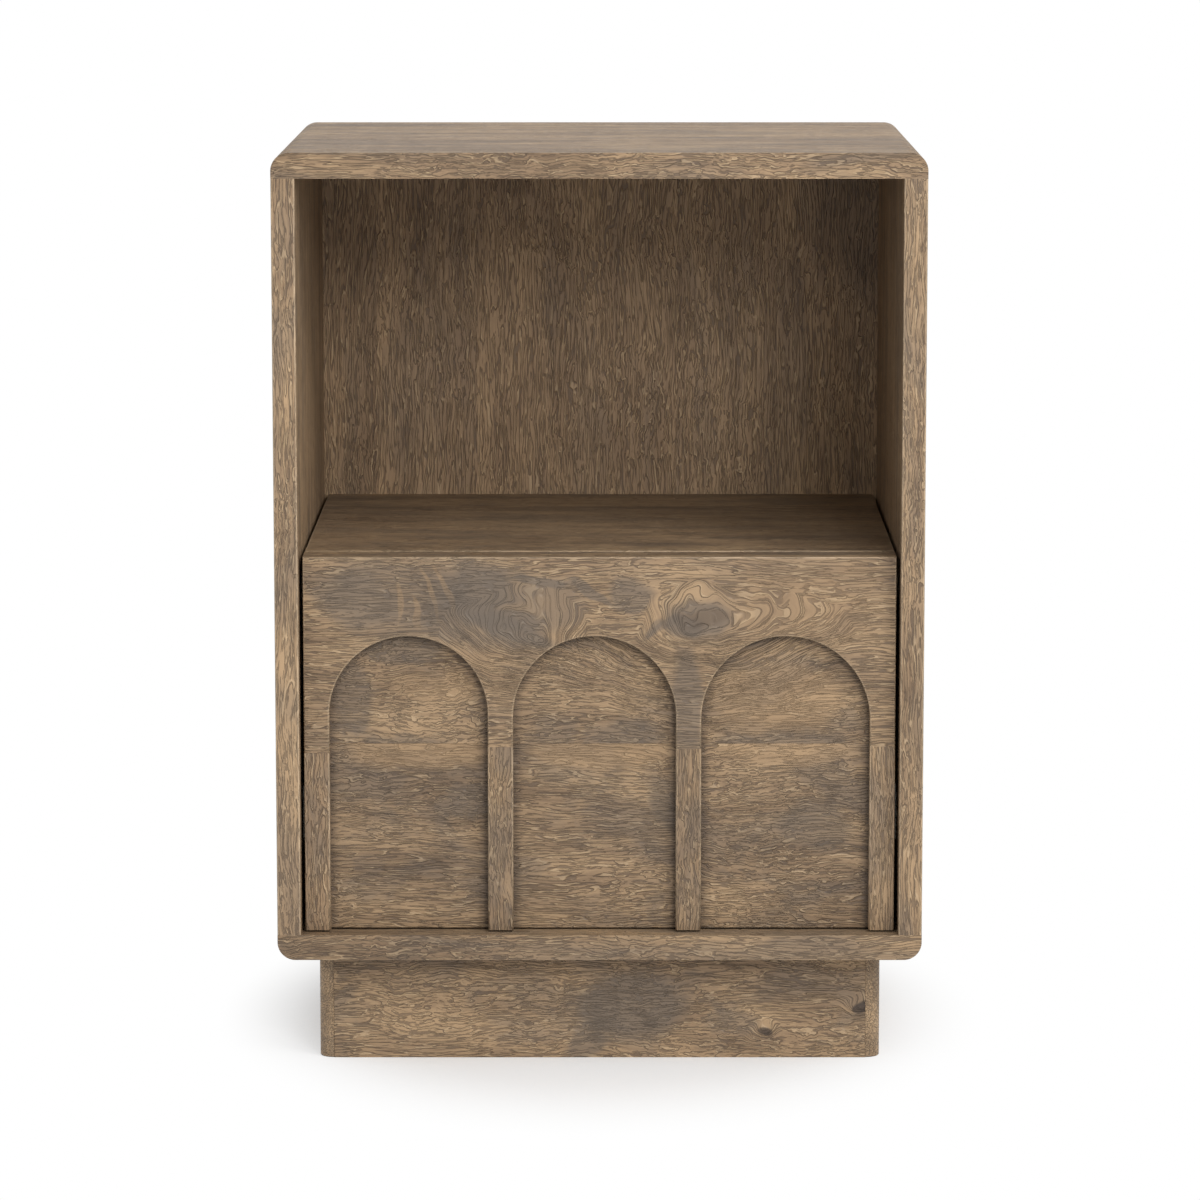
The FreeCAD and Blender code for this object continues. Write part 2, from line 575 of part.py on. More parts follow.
# Bottom panel: runs under the side panels, the top panel turned over.
def make_bottom_panel():
    body = board("bottom_panel_board",
                 ("Places.left_x", "Places.front_y", "Sizes.plinth_height"),
                 ("Places.right_x", "Places.rear_y", "Places.bottom_top"))
    box_in(body, "Subtractive", "bottom_rebate",
           ("-Places.rebate_x", "Places.back_front_y", "Places.rebate_low"),
           ("Places.rebate_x", "Places.rear_y + Sizes.overrun", "Places.bottom_top + Sizes.overrun"))
    left, right, base = place("left_x"), place("right_x"), size("plinth_height")
    round_edges(body, "bottom_corners", "Sizes.case_corner_radius",
                lambda box: along_y_at(box, left, base) or along_y_at(box, right, base))
    front, rear, above = place("front_y"), place("rear_y"), place("bottom_top")

    def outer_edge(box):
        at_end = near(box.YMin, box.YMax) and (near(box.YMin, front) or near(box.YMin, rear))
        return at_end and box.ZMin < above - size("back_rebate") - MATCH
    round_edges(body, "bottom_arrises", "Sizes.arris_radius", outer_edge)
    return bored("bottom_panel", body, [case_dowels, back_panel_screws, plinth_screws])


bottom_panel = make_bottom_panel()


# Side panels: stand between the bottom panel and the top panel.
def make_left_side_panel():
    body = board("side_panel_board",
                 ("Places.left_x", "Places.front_y", "Places.bottom_top"),
                 ("Places.left_inner_x", "Places.rear_y", "Places.top_under"))
    box_in(body, "Subtractive", "side_rebate",
           ("-Places.rebate_x", "Places.back_front_y", "Places.bottom_top - Sizes.overrun"),
           ("Places.left_inner_x + Sizes.overrun", "Places.rear_y + Sizes.overrun",
            "Places.top_under + Sizes.overrun"))
    left, inner = place("left_x"), place("left_inner_x")
    front, rear = place("front_y"), place("rear_y")

    def upright_edge(box):
        at_front = upright_at(box, left, front) or upright_at(box, inner, front)
        return at_front or upright_at(box, left, rear)
    round_edges(body, "side_arrises", "Sizes.arris_radius", upright_edge)
    return bored("left_side_panel", body,
                 [case_dowels, back_panel_screws, cleat_screws, slide_case_screws])


left_side_panel = make_left_side_panel()
right_side_panel = mirrored("right_side_panel", left_side_panel)


# Touch latch screws: raised heads on the ears of the housing, into the back panel.
def latch_screw_shapes():
    screw = screw_shape(size("small_screw_radius"),
                        2 * size("latch_plate_thickness") + size("latch_screw_bite"),
                        size("small_screw_head_radius"), size("small_screw_head_height"), True)
    reach = LATCH_SCREW_SHARE * size("latch_plate_width")
    return [pointing(screw, (side * reach, place("latch_ear_y"), place("latch_z")), REARWARD)
            for side in SIDES]


latch_screws = group_of("latch_screws", latch_screw_shapes())


# Back panel: drops into the rebates from behind.
def make_back_panel():
    body = board("back_panel_board",
                 ("-Places.rebate_x + Sizes.back_clearance", "Places.back_front_y",
                  "Places.rebate_low + Sizes.back_clearance"),
                 ("Places.rebate_x - Sizes.back_clearance", "Places.rear_y",
                  "Places.rebate_high - Sizes.back_clearance"))
    return bored("back_panel", body, [back_panel_screws, latch_screws])


back_panel = make_back_panel()


# Shelf: the floor of the cubby. It rests on three cleats, clear of the side panels.
def make_shelf_panel():
    body = board("shelf_board",
                 ("-Places.shelf_x", "Places.shelf_front_y", "Places.shelf_under"),
                 ("Places.shelf_x", "Places.back_front_y", "Places.shelf_top"))
    front, top, end = place("shelf_front_y"), place("shelf_top"), place("shelf_x")

    def upper_edge(box):
        at_end = along_y_at(box, -end, top) or along_y_at(box, end, top)
        return at_end or across_at(box, front, top)
    round_edges(body, "shelf_arrises", "Sizes.arris_radius", upper_edge)
    return bored("shelf_panel", body, [shelf_screws])


shelf_panel = make_shelf_panel()


def make_left_cleat():
    body = board("side_cleat_blank",
                 ("Places.left_inner_x", "Places.cleat_front_y", "Places.cleat_low"),
                 ("-Places.cleat_x", "Places.back_front_y", "Places.shelf_under"))
    return bored("shelf_left_cleat", body, [cleat_screws, shelf_screws])


shelf_left_cleat = make_left_cleat()
shelf_right_cleat = mirrored("shelf_right_cleat", shelf_left_cleat)


def make_rear_cleat():
    body = board("rear_cleat_blank",
                 ("-Places.cleat_x", "Places.rear_cleat_y", "Places.cleat_low"),
                 ("Places.cleat_x", "Places.back_front_y", "Places.shelf_under"))
    return bored("shelf_rear_cleat", body, [back_panel_screws, shelf_screws])


shelf_rear_cleat = make_rear_cleat()


# Plinth: four boards in rebated corners, stiffened by glue blocks.
def make_plinth_cross_board(name, low_y, high_y):
    body = board(name + "_blank",
                 ("-Places.plinth_tongue_x", low_y, "0"),
                 ("Places.plinth_tongue_x", high_y, "Sizes.plinth_height"))
    return bored(name, body, [plinth_screws])


plinth_front_board = make_plinth_cross_board(
    "plinth_front_board", "-Places.plinth_y", "-Places.plinth_inner_y")
plinth_back_board = make_plinth_cross_board(
    "plinth_back_board", "Places.plinth_inner_y", "Places.plinth_y")


def make_plinth_left_board():
    body = board("plinth_side_blank",
                 ("-Places.plinth_x", "-Places.plinth_y", "0"),
                 ("-Places.plinth_inner_x", "Places.plinth_y", "Sizes.plinth_height"))
    for end, low_y, high_y in (
            ("front", "-Places.plinth_y - Sizes.overrun", "-Places.plinth_inner_y"),
            ("rear", "Places.plinth_inner_y", "Places.plinth_y + Sizes.overrun")):
        box_in(body, "Subtractive", "plinth_" + end + "_rebate",
               ("-Places.plinth_tongue_x", low_y, "-Sizes.overrun"),
               ("-Places.plinth_inner_x + Sizes.overrun", high_y, "Sizes.plinth_height + Sizes.overrun"))
    x, y = place("plinth_x"), place("plinth_y")
    round_edges(body, "plinth_corners", "Sizes.plinth_corner_radius",
                lambda box: upright_at(box, -x, -y) or upright_at(box, -x, y))
    return bored("plinth_left_board", body, [plinth_screws])


plinth_left_board = make_plinth_left_board()
plinth_right_board = mirrored("plinth_right_board", plinth_left_board)


def make_corner_blocks():
    blocks = []
    for side, low_x in (("left", "-Places.plinth_inner_x"), ("right", "Places.block_x")):
        for end, low_y in (("front", "-Places.plinth_inner_y"), ("rear", "Places.block_y")):
            block = doc.addObject("Part::Box", "block_" + side + "_" + end)
            block.setExpression("Length", "Sizes.block_width")
            block.setExpression("Width", "Sizes.block_width")
            block.setExpression("Height", "Sizes.block_height")
            block.setExpression("Placement.Base.x", low_x)
            block.setExpression("Placement.Base.y", low_y)
            block.setExpression("Placement.Base.z", "Places.block_low")
            blocks.append(block)
    group = doc.addObject("Part::Compound", "corner_block_blanks")
    group.Links = blocks
    return bored("plinth_corner_blocks", group, [plinth_screws])


plinth_corner_blocks = make_corner_blocks()


# Drawer slides: ball-bearing, full extension, three nested steel members a side.
SLIDE_ENDS = ("Places.slide_front_y", "Places.slide_rear_y")
RETAINER_ENDS = ("Places.retainer_front_y", "Places.retainer_rear_y")


def channel(name, start, reach, half, sheet, ends, web_first=True):
    """A left-hand channel: a web and two flanges, from start to reach off the side panel."""
    body = new_body(name)
    near_x = "Places.left_inner_x + %s" % start
    far_x = "Places.left_inner_x + %s" % reach
    low = "Places.slide_z - %s" % half
    high = "Places.slide_z + %s" % half
    if web_first:
        web = (near_x, "%s + %s" % (near_x, sheet))
    else:
        web = ("%s - %s" % (far_x, sheet), far_x)
    box_in(body, "Additive", name + "_web", (web[0], ends[0], low), (web[1], ends[1], high))
    box_in(body, "Additive", name + "_lower",
           (near_x, ends[0], low), (far_x, ends[1], "%s + %s" % (low, sheet)))
    box_in(body, "Additive", name + "_upper",
           (near_x, ends[0], "%s - %s" % (high, sheet)), (far_x, ends[1], high))
    return body


def make_case_member():
    body = channel("case_member_blank", "0", "Places.case_member_reach",
                   "Places.case_member_half", "Sizes.slide_sheet", SLIDE_ENDS)
    far_x = "Places.left_inner_x + Places.case_member_reach"
    for name, low, high in (
            ("lower_lip", "Places.slide_z - Places.case_member_half",
             "Places.slide_z - Places.case_member_half + Sizes.slide_sheet + Sizes.flange_lip"),
            ("upper_lip", "Places.slide_z + Places.case_member_half - Sizes.slide_sheet - Sizes.flange_lip",
             "Places.slide_z + Places.case_member_half")):
        box_in(body, "Additive", name, (far_x + " - Sizes.slide_sheet", SLIDE_ENDS[0], low),
               (far_x, SLIDE_ENDS[1], high))
    return bored("left_slide_case_member", body, [slide_case_screws])


left_slide_case_member = make_case_member()
right_slide_case_member = mirrored("right_slide_case_member", left_slide_case_member)

left_slide_middle_member = channel("left_slide_middle_member", "Places.middle_start",
                                   "Places.middle_reach", "Places.middle_half",
                                   "Sizes.slide_sheet", SLIDE_ENDS)
right_slide_middle_member = mirrored("right_slide_middle_member", left_slide_middle_member)


def make_drawer_member():
    body = channel("drawer_member_blank", "Places.drawer_member_start",
                   "Sizes.slide_width", "Places.drawer_member_half",
                   "Sizes.slide_sheet", SLIDE_ENDS, web_first=False)
    return bored("left_slide_drawer_member", body, [slide_drawer_screws])


left_slide_drawer_member = make_drawer_member()
right_slide_drawer_member = mirrored("right_slide_drawer_member", left_slide_drawer_member)


def ball_pitch():
    return size("retainer_length") / BALL_COUNT


def make_retainer(name, start, reach, rise, line):
    """A ball retainer: a light channel with a hole for each ball in both flanges."""
    body = channel(name, start, reach, "(%s + Sizes.retainer_sheet / 2)" % rise,
                   "Sizes.retainer_sheet", RETAINER_ENDS)
    hole = body.newObject("PartDesign::SubtractiveCylinder", name + "_hole")
    hole.setExpression("Radius", "Sizes.ball_radius + Sizes.retainer_hole_clearance")
    hole.setExpression("Height", "2 * (%s + Sizes.retainer_sheet)" % rise)
    hole.setExpression("Placement.Base.x", "Places.left_inner_x + %s" % line)
    hole.setExpression("Placement.Base.y",
                       "Places.retainer_front_y + Sizes.retainer_length / (2 * %d)" % BALL_COUNT)
    hole.setExpression("Placement.Base.z", "Places.slide_z - %s - Sizes.retainer_sheet" % rise)
    doc.recompute()
    pattern = body.newObject("PartDesign::LinearPattern", name + "_holes")
    pattern.Originals = [hole]
    pattern.Direction = (origin_part(body, "Y_Axis"), [""])
    pattern.Occurrences = BALL_COUNT
    pattern.setExpression("Length", "Sizes.retainer_length * (%d - 1) / %d" % (BALL_COUNT, BALL_COUNT))
    body.Tip = pattern
    return body


def ball_shapes(line, rise):
    ball = Part.makeSphere(size("ball_radius"))
    first = place("retainer_front_y") + ball_pitch() / 2
    shapes = []
    for number in range(BALL_COUNT):
        for level in SIDES:
            spot = (place("left_inner_x") + line, first + number * ball_pitch(),
                    place("slide_z") + level * rise)
            shapes.append(pointing(ball, spot, UP))
    return shapes


left_outer_ball_retainer = make_retainer(
    "left_outer_ball_retainer", "Places.outer_retainer_start", "Places.outer_retainer_reach",
    "Places.outer_ball_rise", "Sizes.outer_ball_line")
left_inner_ball_retainer = make_retainer(
    "left_inner_ball_retainer", "Places.inner_retainer_start", "Places.inner_retainer_reach",
    "Places.inner_ball_rise", "Sizes.inner_ball_line")
right_outer_ball_retainer = mirrored("right_outer_ball_retainer", left_outer_ball_retainer)
right_inner_ball_retainer = mirrored("right_inner_ball_retainer", left_inner_ball_retainer)
left_outer_balls = group_of("left_outer_balls", ball_shapes(
    size("outer_ball_line"), place("outer_ball_rise")))
left_inner_balls = group_of("left_inner_balls", ball_shapes(
    size("inner_ball_line"), place("inner_ball_rise")))
right_outer_balls = mirrored("right_outer_balls", left_outer_balls)
right_inner_balls = mirrored("right_inner_balls", left_inner_balls)


# Drawer box: thin boards doweled at the corners, the bottom panel in a groove.
def box_dowel_shapes():
    peg = Part.makeCylinder(size("box_dowel_radius"), size("box_dowel_length"))
    front = place("box_front_y") + size("box_board_thickness") / 2
    rear = place("box_rear_y") - size("box_board_thickness") / 2
    shapes = []
    for side, direction in ((-1, RIGHT), (1, LEFT)):
        for y in (front, rear):
            for share in BOX_DOWEL_SHARES:
                height = between(place("groove_high"), place("box_top"), share)
                shapes.append(pointing(peg, (side * place("box_x"), y, height), direction))
    return shapes


drawer_dowels = group_of("drawer_dowels", box_dowel_shapes())


# Drawer front screws: raised heads inside the box, three into each front board.
def front_screw_shapes():
    screw = screw_shape(size("wood_screw_radius"), size("box_board_thickness") + size("front_screw_bite"),
                        size("front_screw_head_radius"), size("wood_screw_head_height"), True)
    upper = between(place("seam_height"), place("box_top"), BOX_DOWEL_SHARES[1])
    lower = between(place("groove_high"), place("seam_height"), BOX_DOWEL_SHARES[1])
    reach = place("box_x") - size("box_dowel_length") - size("front_screw_dowel_gap")
    shapes = []
    for share in FRONT_SCREW_SHARES:
        x = share * reach
        for height in (upper, lower):
            shapes.append(pointing(screw, (x, place("box_board_y"), height), FORWARD))
    return shapes


drawer_front_screws = group_of("drawer_front_screws", front_screw_shapes())


def strike_screw_shapes():
    screw = screw_shape(size("small_screw_radius"),
                        size("strike_thickness") + size("strike_screw_bite"),
                        size("small_screw_head_radius"), size("small_screw_head_height"), False)
    reach = STRIKE_SCREW_SHARE * size("strike_width")
    return [pointing(screw, (side * reach, place("strike_y"), place("latch_z")), FORWARD)
            for side in SIDES]


strike_screws = group_of("strike_screws", strike_screw_shapes())


def make_drawer_left_side():
    body = board("box_side_blank",
                 ("-Places.box_x", "Places.box_front_y", "Places.box_base"),
                 ("-Places.box_inner_x", "Places.box_rear_y", "Places.box_top"))
    box_in(body, "Subtractive", "side_groove",
           ("-Places.box_inner_x - Sizes.groove_depth", "Places.box_board_y - Sizes.groove_depth",
            "Places.groove_low"),
           ("-Places.box_inner_x + Sizes.overrun", "Places.box_rear_board_y + Sizes.groove_depth",
            "Places.groove_high"))
    return bored("drawer_left_side", body, [drawer_dowels, slide_drawer_screws])


drawer_left_side = make_drawer_left_side()
drawer_right_side = mirrored("drawer_right_side", drawer_left_side)


def make_box_cross_board(name, low_y, high_y, groove_low_y, groove_high_y, tools):
    body = board(name + "_blank",
                 ("-Places.box_inner_x", low_y, "Places.box_base"),
                 ("Places.box_inner_x", high_y, "Places.box_top"))
    box_in(body, "Subtractive", name + "_groove",
           ("-Places.box_inner_x - Sizes.overrun", groove_low_y, "Places.groove_low"),
           ("Places.box_inner_x + Sizes.overrun", groove_high_y, "Places.groove_high"))
    return bored(name, body, tools)


drawer_box_front = make_box_cross_board(
    "drawer_box_front", "Places.box_front_y", "Places.box_board_y",
    "Places.box_board_y - Sizes.groove_depth", "Places.box_board_y + Sizes.overrun",
    [drawer_dowels, drawer_front_screws])
drawer_box_rear = make_box_cross_board(
    "drawer_box_rear", "Places.box_rear_board_y", "Places.box_rear_y",
    "Places.box_rear_board_y - Sizes.overrun", "Places.box_rear_board_y + Sizes.groove_depth",
    [drawer_dowels, strike_screws])

REACH = "Sizes.groove_depth - Sizes.groove_clearance"
drawer_bottom = board("drawer_bottom",
                      ("-Places.box_inner_x - (%s)" % REACH, "Places.box_board_y - (%s)" % REACH,
                       "Places.groove_low"),
                      ("Places.box_inner_x + (%s)" % REACH, "Places.box_rear_board_y + (%s)" % REACH,
                       "Places.groove_high"))


# Drawer front: two boards edge to edge, with the arch board and four stiles glued on.
def make_front_board(name, low_z, high_z):
    body = board(name + "_blank",
                 ("Places.front_left", "Places.board_y", low_z),
                 ("Places.front_right", "Places.box_front_y", high_z))
    return bored(name, body, [drawer_front_screws])


front_upper_board = make_front_board("front_upper_board", "Places.seam_height", "Places.front_top")
front_lower_board = make_front_board("front_lower_board", "Places.front_base", "Places.seam_height")


def bind_point(sketch, geometry, point, label, across, up):
    """Hold one point of a sketch at two named places."""
    for kind, letter, source in (("DistanceX", "x", across), ("DistanceY", "y", up)):
        if source is None:
            continue
        number = sketch.addConstraint(
            Sketcher.Constraint(kind, -1, 1, geometry, point, place(source)))
        sketch.renameConstraint(number, label + "_" + letter)
        sketch.setExpression("Constraints." + label + "_" + letter, "Places." + source)


def draw_outline(sketch, corners):
    """A closed outline through named corners. A level side between two springs is a half circle."""
    count = len(corners)
    arches = [index for index, (across, up) in enumerate(corners)
              if up.startswith("spring") and corners[(index + 1) % count][1] == up]
    for index, (across, up) in enumerate(corners):
        next_across, next_up = corners[(index + 1) % count]
        start = FreeCAD.Vector(place(across), place(up), 0)
        end = FreeCAD.Vector(place(next_across), place(next_up), 0)
        if index in arches:
            circle = Part.Circle((start + end) / 2, FreeCAD.Vector(0, 0, 1), (start - end).Length / 2)
            sketch.addGeometry(Part.ArcOfCircle(circle, 0, math.pi))
        else:
            sketch.addGeometry(Part.LineSegment(start, end))
    for index in range(count):
        sketch.addConstraint(Sketcher.Constraint("Coincident", index, 2, (index + 1) % count, 1))
    for index, (across, up) in enumerate(corners):
        bind_point(sketch, index, 1, "corner%d" % index, across, up)
        if index in arches:
            bind_point(sketch, index, 3, "centre%d" % index, None, up)


def make_arch_head_board():
    """One wide board cut to three half-round arches, with a short leg on each stile.
    Its outline is walked from the top right corner down and along the legs."""
    body = new_body("arch_head_board")
    sketch = body.newObject("Sketcher::SketchObject", "arch_outline")
    sketch.AttachmentSupport = [(origin_part(body, "XZ_Plane"), "")]
    sketch.MapMode = "FlatFace"
    sketch.setExpression("AttachmentOffset.Base.z", "-Places.board_y")
    corners = [
        ("front_right", "front_top"), ("front_right", "joint_4"),
        ("stile_4_left", "joint_4"), ("stile_4_left", "spring_3"),
        ("stile_3_right", "spring_3"), ("stile_3_right", "joint_3"),
        ("stile_3_left", "joint_3"), ("stile_3_left", "spring_2"),
        ("stile_2_right", "spring_2"), ("stile_2_right", "joint_2"),
        ("stile_2_left", "joint_2"), ("stile_2_left", "spring_1"),
        ("stile_1_right", "spring_1"), ("stile_1_right", "joint_1"),
        ("front_left", "joint_1"), ("front_left", "front_top"),
    ]
    draw_outline(sketch, corners)
    pad = body.newObject("PartDesign::Pad", "arch_pad")
    pad.Profile = sketch
    pad.setExpression("Length", "Sizes.overlay_thickness")
    body.Tip = pad
    front, top = place("overlay_y"), place("front_top")
    left, right, apex = place("front_left"), place("front_right"), place("arch_apex")

    def seen_edge(box):
        in_front = near(box.YMin, front) and near(box.YMax, front)
        upright = near(box.XMin, box.XMax)
        outer = upright and (near(box.XMin, left) or near(box.XMin, right))
        arch = not upright and box.ZMax > apex - size("arch_apex_drop")
        return in_front and (outer or arch or upright or near(box.ZMin, top))
    round_edges(body, "arch_arrises", "Sizes.arris_radius", seen_edge)
    return body


arch_head_board = make_arch_head_board()


def make_stile(number, left, right):
    name = "arch_stile_%d" % number
    body = board(name,
                 ("Places." + left, "Places.overlay_y", "Places.front_base"),
                 ("Places." + right, "Places.board_y", "Places.joint_%d" % number))
    front = place("overlay_y")
    round_edges(body, name + "_arrises", "Sizes.arris_radius",
                lambda box: near(box.YMax, front) and near(box.XMin, box.XMax))
    return body


STILE_SIDES = (("front_left", "stile_1_right"), ("stile_2_left", "stile_2_right"),
               ("stile_3_left", "stile_3_right"), ("stile_4_left", "front_right"))
arch_stiles = [make_stile(number, left, right)
               for number, (left, right) in enumerate(STILE_SIDES, start=1)]


# Touch latch: a push on the drawer releases it. The housing screws to the back panel.
def make_latch_housing():
    body = new_body("latch_housing_blank")
    half_width = "Sizes.latch_plate_width / 2"
    half_height = "Sizes.latch_plate_height / 2"
    box_in(body, "Additive", "latch_ears",
           ("-" + half_width, "Places.latch_ear_y", "Places.latch_z - " + half_height),
           (half_width, "Places.latch_plate_y", "Places.latch_z + " + half_height))
    cylinder_in(body, "Additive", "latch_barrel", "Sizes.latch_body_radius",
                "Places.latch_front_y", "Places.latch_plate_y", "0", "Places.latch_z")
    cylinder_in(body, "Subtractive", "latch_cavity", "Places.cavity_radius",
                "Places.latch_front_y + Sizes.latch_neck_length",
                "Places.latch_plate_y + Sizes.overrun", "0", "Places.latch_z")
    cylinder_in(body, "Subtractive", "latch_neck", "Sizes.plunger_radius + Sizes.plunger_clearance",
                "Places.latch_front_y - Sizes.overrun", "Places.latch_plate_y", "0", "Places.latch_z")
    return bored("latch_housing", body, [latch_screws])


latch_housing = make_latch_housing()


def make_latch_base_plate():
    body = board("latch_plate_blank",
                 ("-Sizes.latch_plate_width / 2", "Places.latch_plate_y",
                  "Places.latch_z - Sizes.latch_plate_height / 2"),
                 ("Sizes.latch_plate_width / 2", "Places.back_front_y",
                  "Places.latch_z + Sizes.latch_plate_height / 2"))
    return bored("latch_base_plate", body, [latch_screws])


latch_base_plate = make_latch_base_plate()


def make_latch_plunger():
    body = new_body("latch_plunger")
    cylinder_in(body, "Additive", "plunger_shaft", "Sizes.plunger_radius",
                "Places.plunger_y", "Places.plunger_rear_y", "0", "Places.latch_z")
    cylinder_in(body, "Additive", "plunger_collar", "Sizes.plunger_collar_radius",
                "Places.collar_y", "Places.plunger_rear_y", "0", "Places.latch_z")
    cylinder_in(body, "Subtractive", "plunger_bore", "Places.bore_radius",
                "Places.bore_y", "Places.plunger_rear_y + Sizes.overrun", "0", "Places.latch_z")
    return body


latch_plunger = make_latch_plunger()


def make_latch_magnet():
    body = new_body("latch_magnet")
    cylinder_in(body, "Additive", "magnet_disc", "Sizes.plunger_radius",
                "Places.magnet_y", "Places.plunger_y", "0", "Places.latch_z")
    return body


latch_magnet = make_latch_magnet()


def make_latch_spring():
    """One unbroken coil between the plunger's bore and the base plate."""
    start = place("bore_y") + size("spring_end_gap") + size("spring_wire_radius")
    end = place("latch_plate_y") - size("spring_end_gap") - size("spring_wire_radius")
    helix = Part.makeHelix(size("spring_pitch"), end - start, size("spring_radius"))
    wire = Part.Wire(helix.Edges)
    first = FreeCAD.Vector(size("spring_radius"), 0, 0)
    ring = Part.makeCircle(size("spring_wire_radius"), first, FreeCAD.Vector(0, 1, 0))
    coil = wire.makePipeShell([Part.Wire([ring])], True, True)
    spring = doc.addObject("Part::Feature", "latch_spring")
    spring.Shape = coil
    turn = FreeCAD.Rotation(FreeCAD.Vector(1, 0, 0), -90)
    spring.Placement = FreeCAD.Placement(FreeCAD.Vector(0, start, place("latch_z")), turn)
    return spring


latch_spring = make_latch_spring()


def make_strike_plate():
    body = board("strike_blank",
                 ("-Sizes.strike_width / 2", "Places.box_rear_y",
                  "Places.latch_z - Sizes.strike_height / 2"),
                 ("Sizes.strike_width / 2", "Places.strike_y",
                  "Places.latch_z + Sizes.strike_height / 2"))
    return bored("latch_strike_plate", body, [strike_screws])


latch_strike_plate = make_strike_plate()


# The nodes that are written, in the order in which the nightstand goes together.
NODES = [
    top_panel, left_side_panel, right_side_panel, bottom_panel, case_dowels,
    back_panel, back_panel_screws, shelf_panel, shelf_left_cleat, shelf_right_cleat,
    shelf_rear_cleat, cleat_screws, shelf_screws, plinth_front_board, plinth_back_board,
    plinth_left_board, plinth_right_board, plinth_corner_blocks, plinth_screws,
    left_slide_case_member, right_slide_case_member, slide_case_screws,
    left_slide_middle_member, right_slide_middle_member,
    left_outer_ball_retainer, right_outer_ball_retainer, left_outer_balls, right_outer_balls,
    left_inner_ball_retainer, right_inner_ball_retainer, left_inner_balls, right_inner_balls,
    left_slide_drawer_member, right_slide_drawer_member, slide_drawer_screws,
    drawer_left_side, drawer_right_side, drawer_box_front, drawer_box_rear, drawer_bottom,
    drawer_dowels, front_upper_board, front_lower_board, arch_head_board,
    arch_stiles[0], arch_stiles[1], arch_stiles[2], arch_stiles[3], drawer_front_screws,
    latch_housing, latch_base_plate, latch_plunger, latch_magnet, latch_spring, latch_screws,
    latch_strike_plate, strike_screws,
]

doc.recompute()
for item in doc.Objects:
    if "Invalid" in item.State or "Error" in item.State:
        raise RuntimeError("%s is not built: %s" % (item.Name, item.State))

os.makedirs("parts", exist_ok=True)
for node in NODES:
    if node.Shape.isNull() or not node.Shape.isValid() or not node.Shape.Solids:
        raise RuntimeError(node.Label + " has no valid solid")
for node in NODES:
    node.Shape.exportStep(os.path.join("parts", node.Label + ".step"))
    print(node.Label, len(node.Shape.Solids), round(node.Shape.Volume))
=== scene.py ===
import json
import math

import bmesh
import bpy
from mathutils import Matrix, Vector


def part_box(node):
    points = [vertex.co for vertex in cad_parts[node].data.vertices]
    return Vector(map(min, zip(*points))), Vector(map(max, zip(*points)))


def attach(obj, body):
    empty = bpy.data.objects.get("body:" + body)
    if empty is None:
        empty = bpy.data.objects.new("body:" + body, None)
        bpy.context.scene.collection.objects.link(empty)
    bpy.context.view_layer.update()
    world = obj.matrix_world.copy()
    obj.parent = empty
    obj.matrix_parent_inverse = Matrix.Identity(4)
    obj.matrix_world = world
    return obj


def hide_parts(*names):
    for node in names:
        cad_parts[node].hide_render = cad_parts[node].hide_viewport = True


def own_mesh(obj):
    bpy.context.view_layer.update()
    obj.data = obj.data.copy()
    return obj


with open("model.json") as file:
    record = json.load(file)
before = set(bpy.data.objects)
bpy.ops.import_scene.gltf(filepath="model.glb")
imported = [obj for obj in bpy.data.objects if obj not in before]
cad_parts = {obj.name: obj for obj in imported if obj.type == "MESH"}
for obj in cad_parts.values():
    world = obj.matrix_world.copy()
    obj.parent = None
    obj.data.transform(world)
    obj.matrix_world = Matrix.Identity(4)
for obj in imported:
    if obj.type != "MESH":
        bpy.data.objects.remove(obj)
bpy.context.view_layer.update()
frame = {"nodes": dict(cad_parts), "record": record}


# View. The camera stands 4.3 m in front of the nightstand, a little above its top, with a long lens,
# as in a catalogue photograph. The lens is shifted by the small amount that the photograph shows.
EYE = Vector((0.00959, -4.27607, 0.98104))
PITCH_DOWN = math.radians(8.487)
LENS_MM = 158.2
SENSOR_MM = 36
SIDE_SHIFT = -0.0098


def in_scene(name, data):
    """An object of the scene that shows some data."""
    item = bpy.data.objects.new(name, data)
    bpy.context.scene.collection.objects.link(item)
    return item


camera_data = bpy.data.cameras.new("camera")
camera_data.lens = LENS_MM
camera_data.sensor_width = SENSOR_MM
camera_data.shift_x = SIDE_SHIFT
camera_data.clip_end = 60
camera = in_scene("camera", camera_data)
camera.location = EYE
camera.rotation_euler = (math.pi / 2 - PITCH_DOWN, 0, 0)
bpy.context.scene.camera = camera
bpy.context.scene.view_settings.view_transform = "Standard"


# Studio. A white sweep on the floor that keeps a soft grey shadow near the object, an even white
# surround that gives most of the light, a soft box at the upper right and one beside the camera.
def colour(hex_code):
    """The linear colour of an sRGB hex value, as shader sockets take it."""
    channels = [int(hex_code[start:start + 2], 16) / 255 for start in (0, 2, 4)]
    linear = [c / 12.92 if c <= 0.04045 else ((c + 0.055) / 1.055) ** 2.4 for c in channels]
    return (*linear, 1)


def mesh_of(bm, name):
    """A mesh of a shape, which it uses up."""
    mesh = bpy.data.meshes.new(name)
    bm.to_mesh(mesh)
    bm.free()
    return mesh


def new_material(name):
    """A material, its node tree and its shader."""
    material = bpy.data.materials.new(name)
    material.use_nodes = True
    return material, material.node_tree, material.node_tree.nodes["Principled BSDF"]


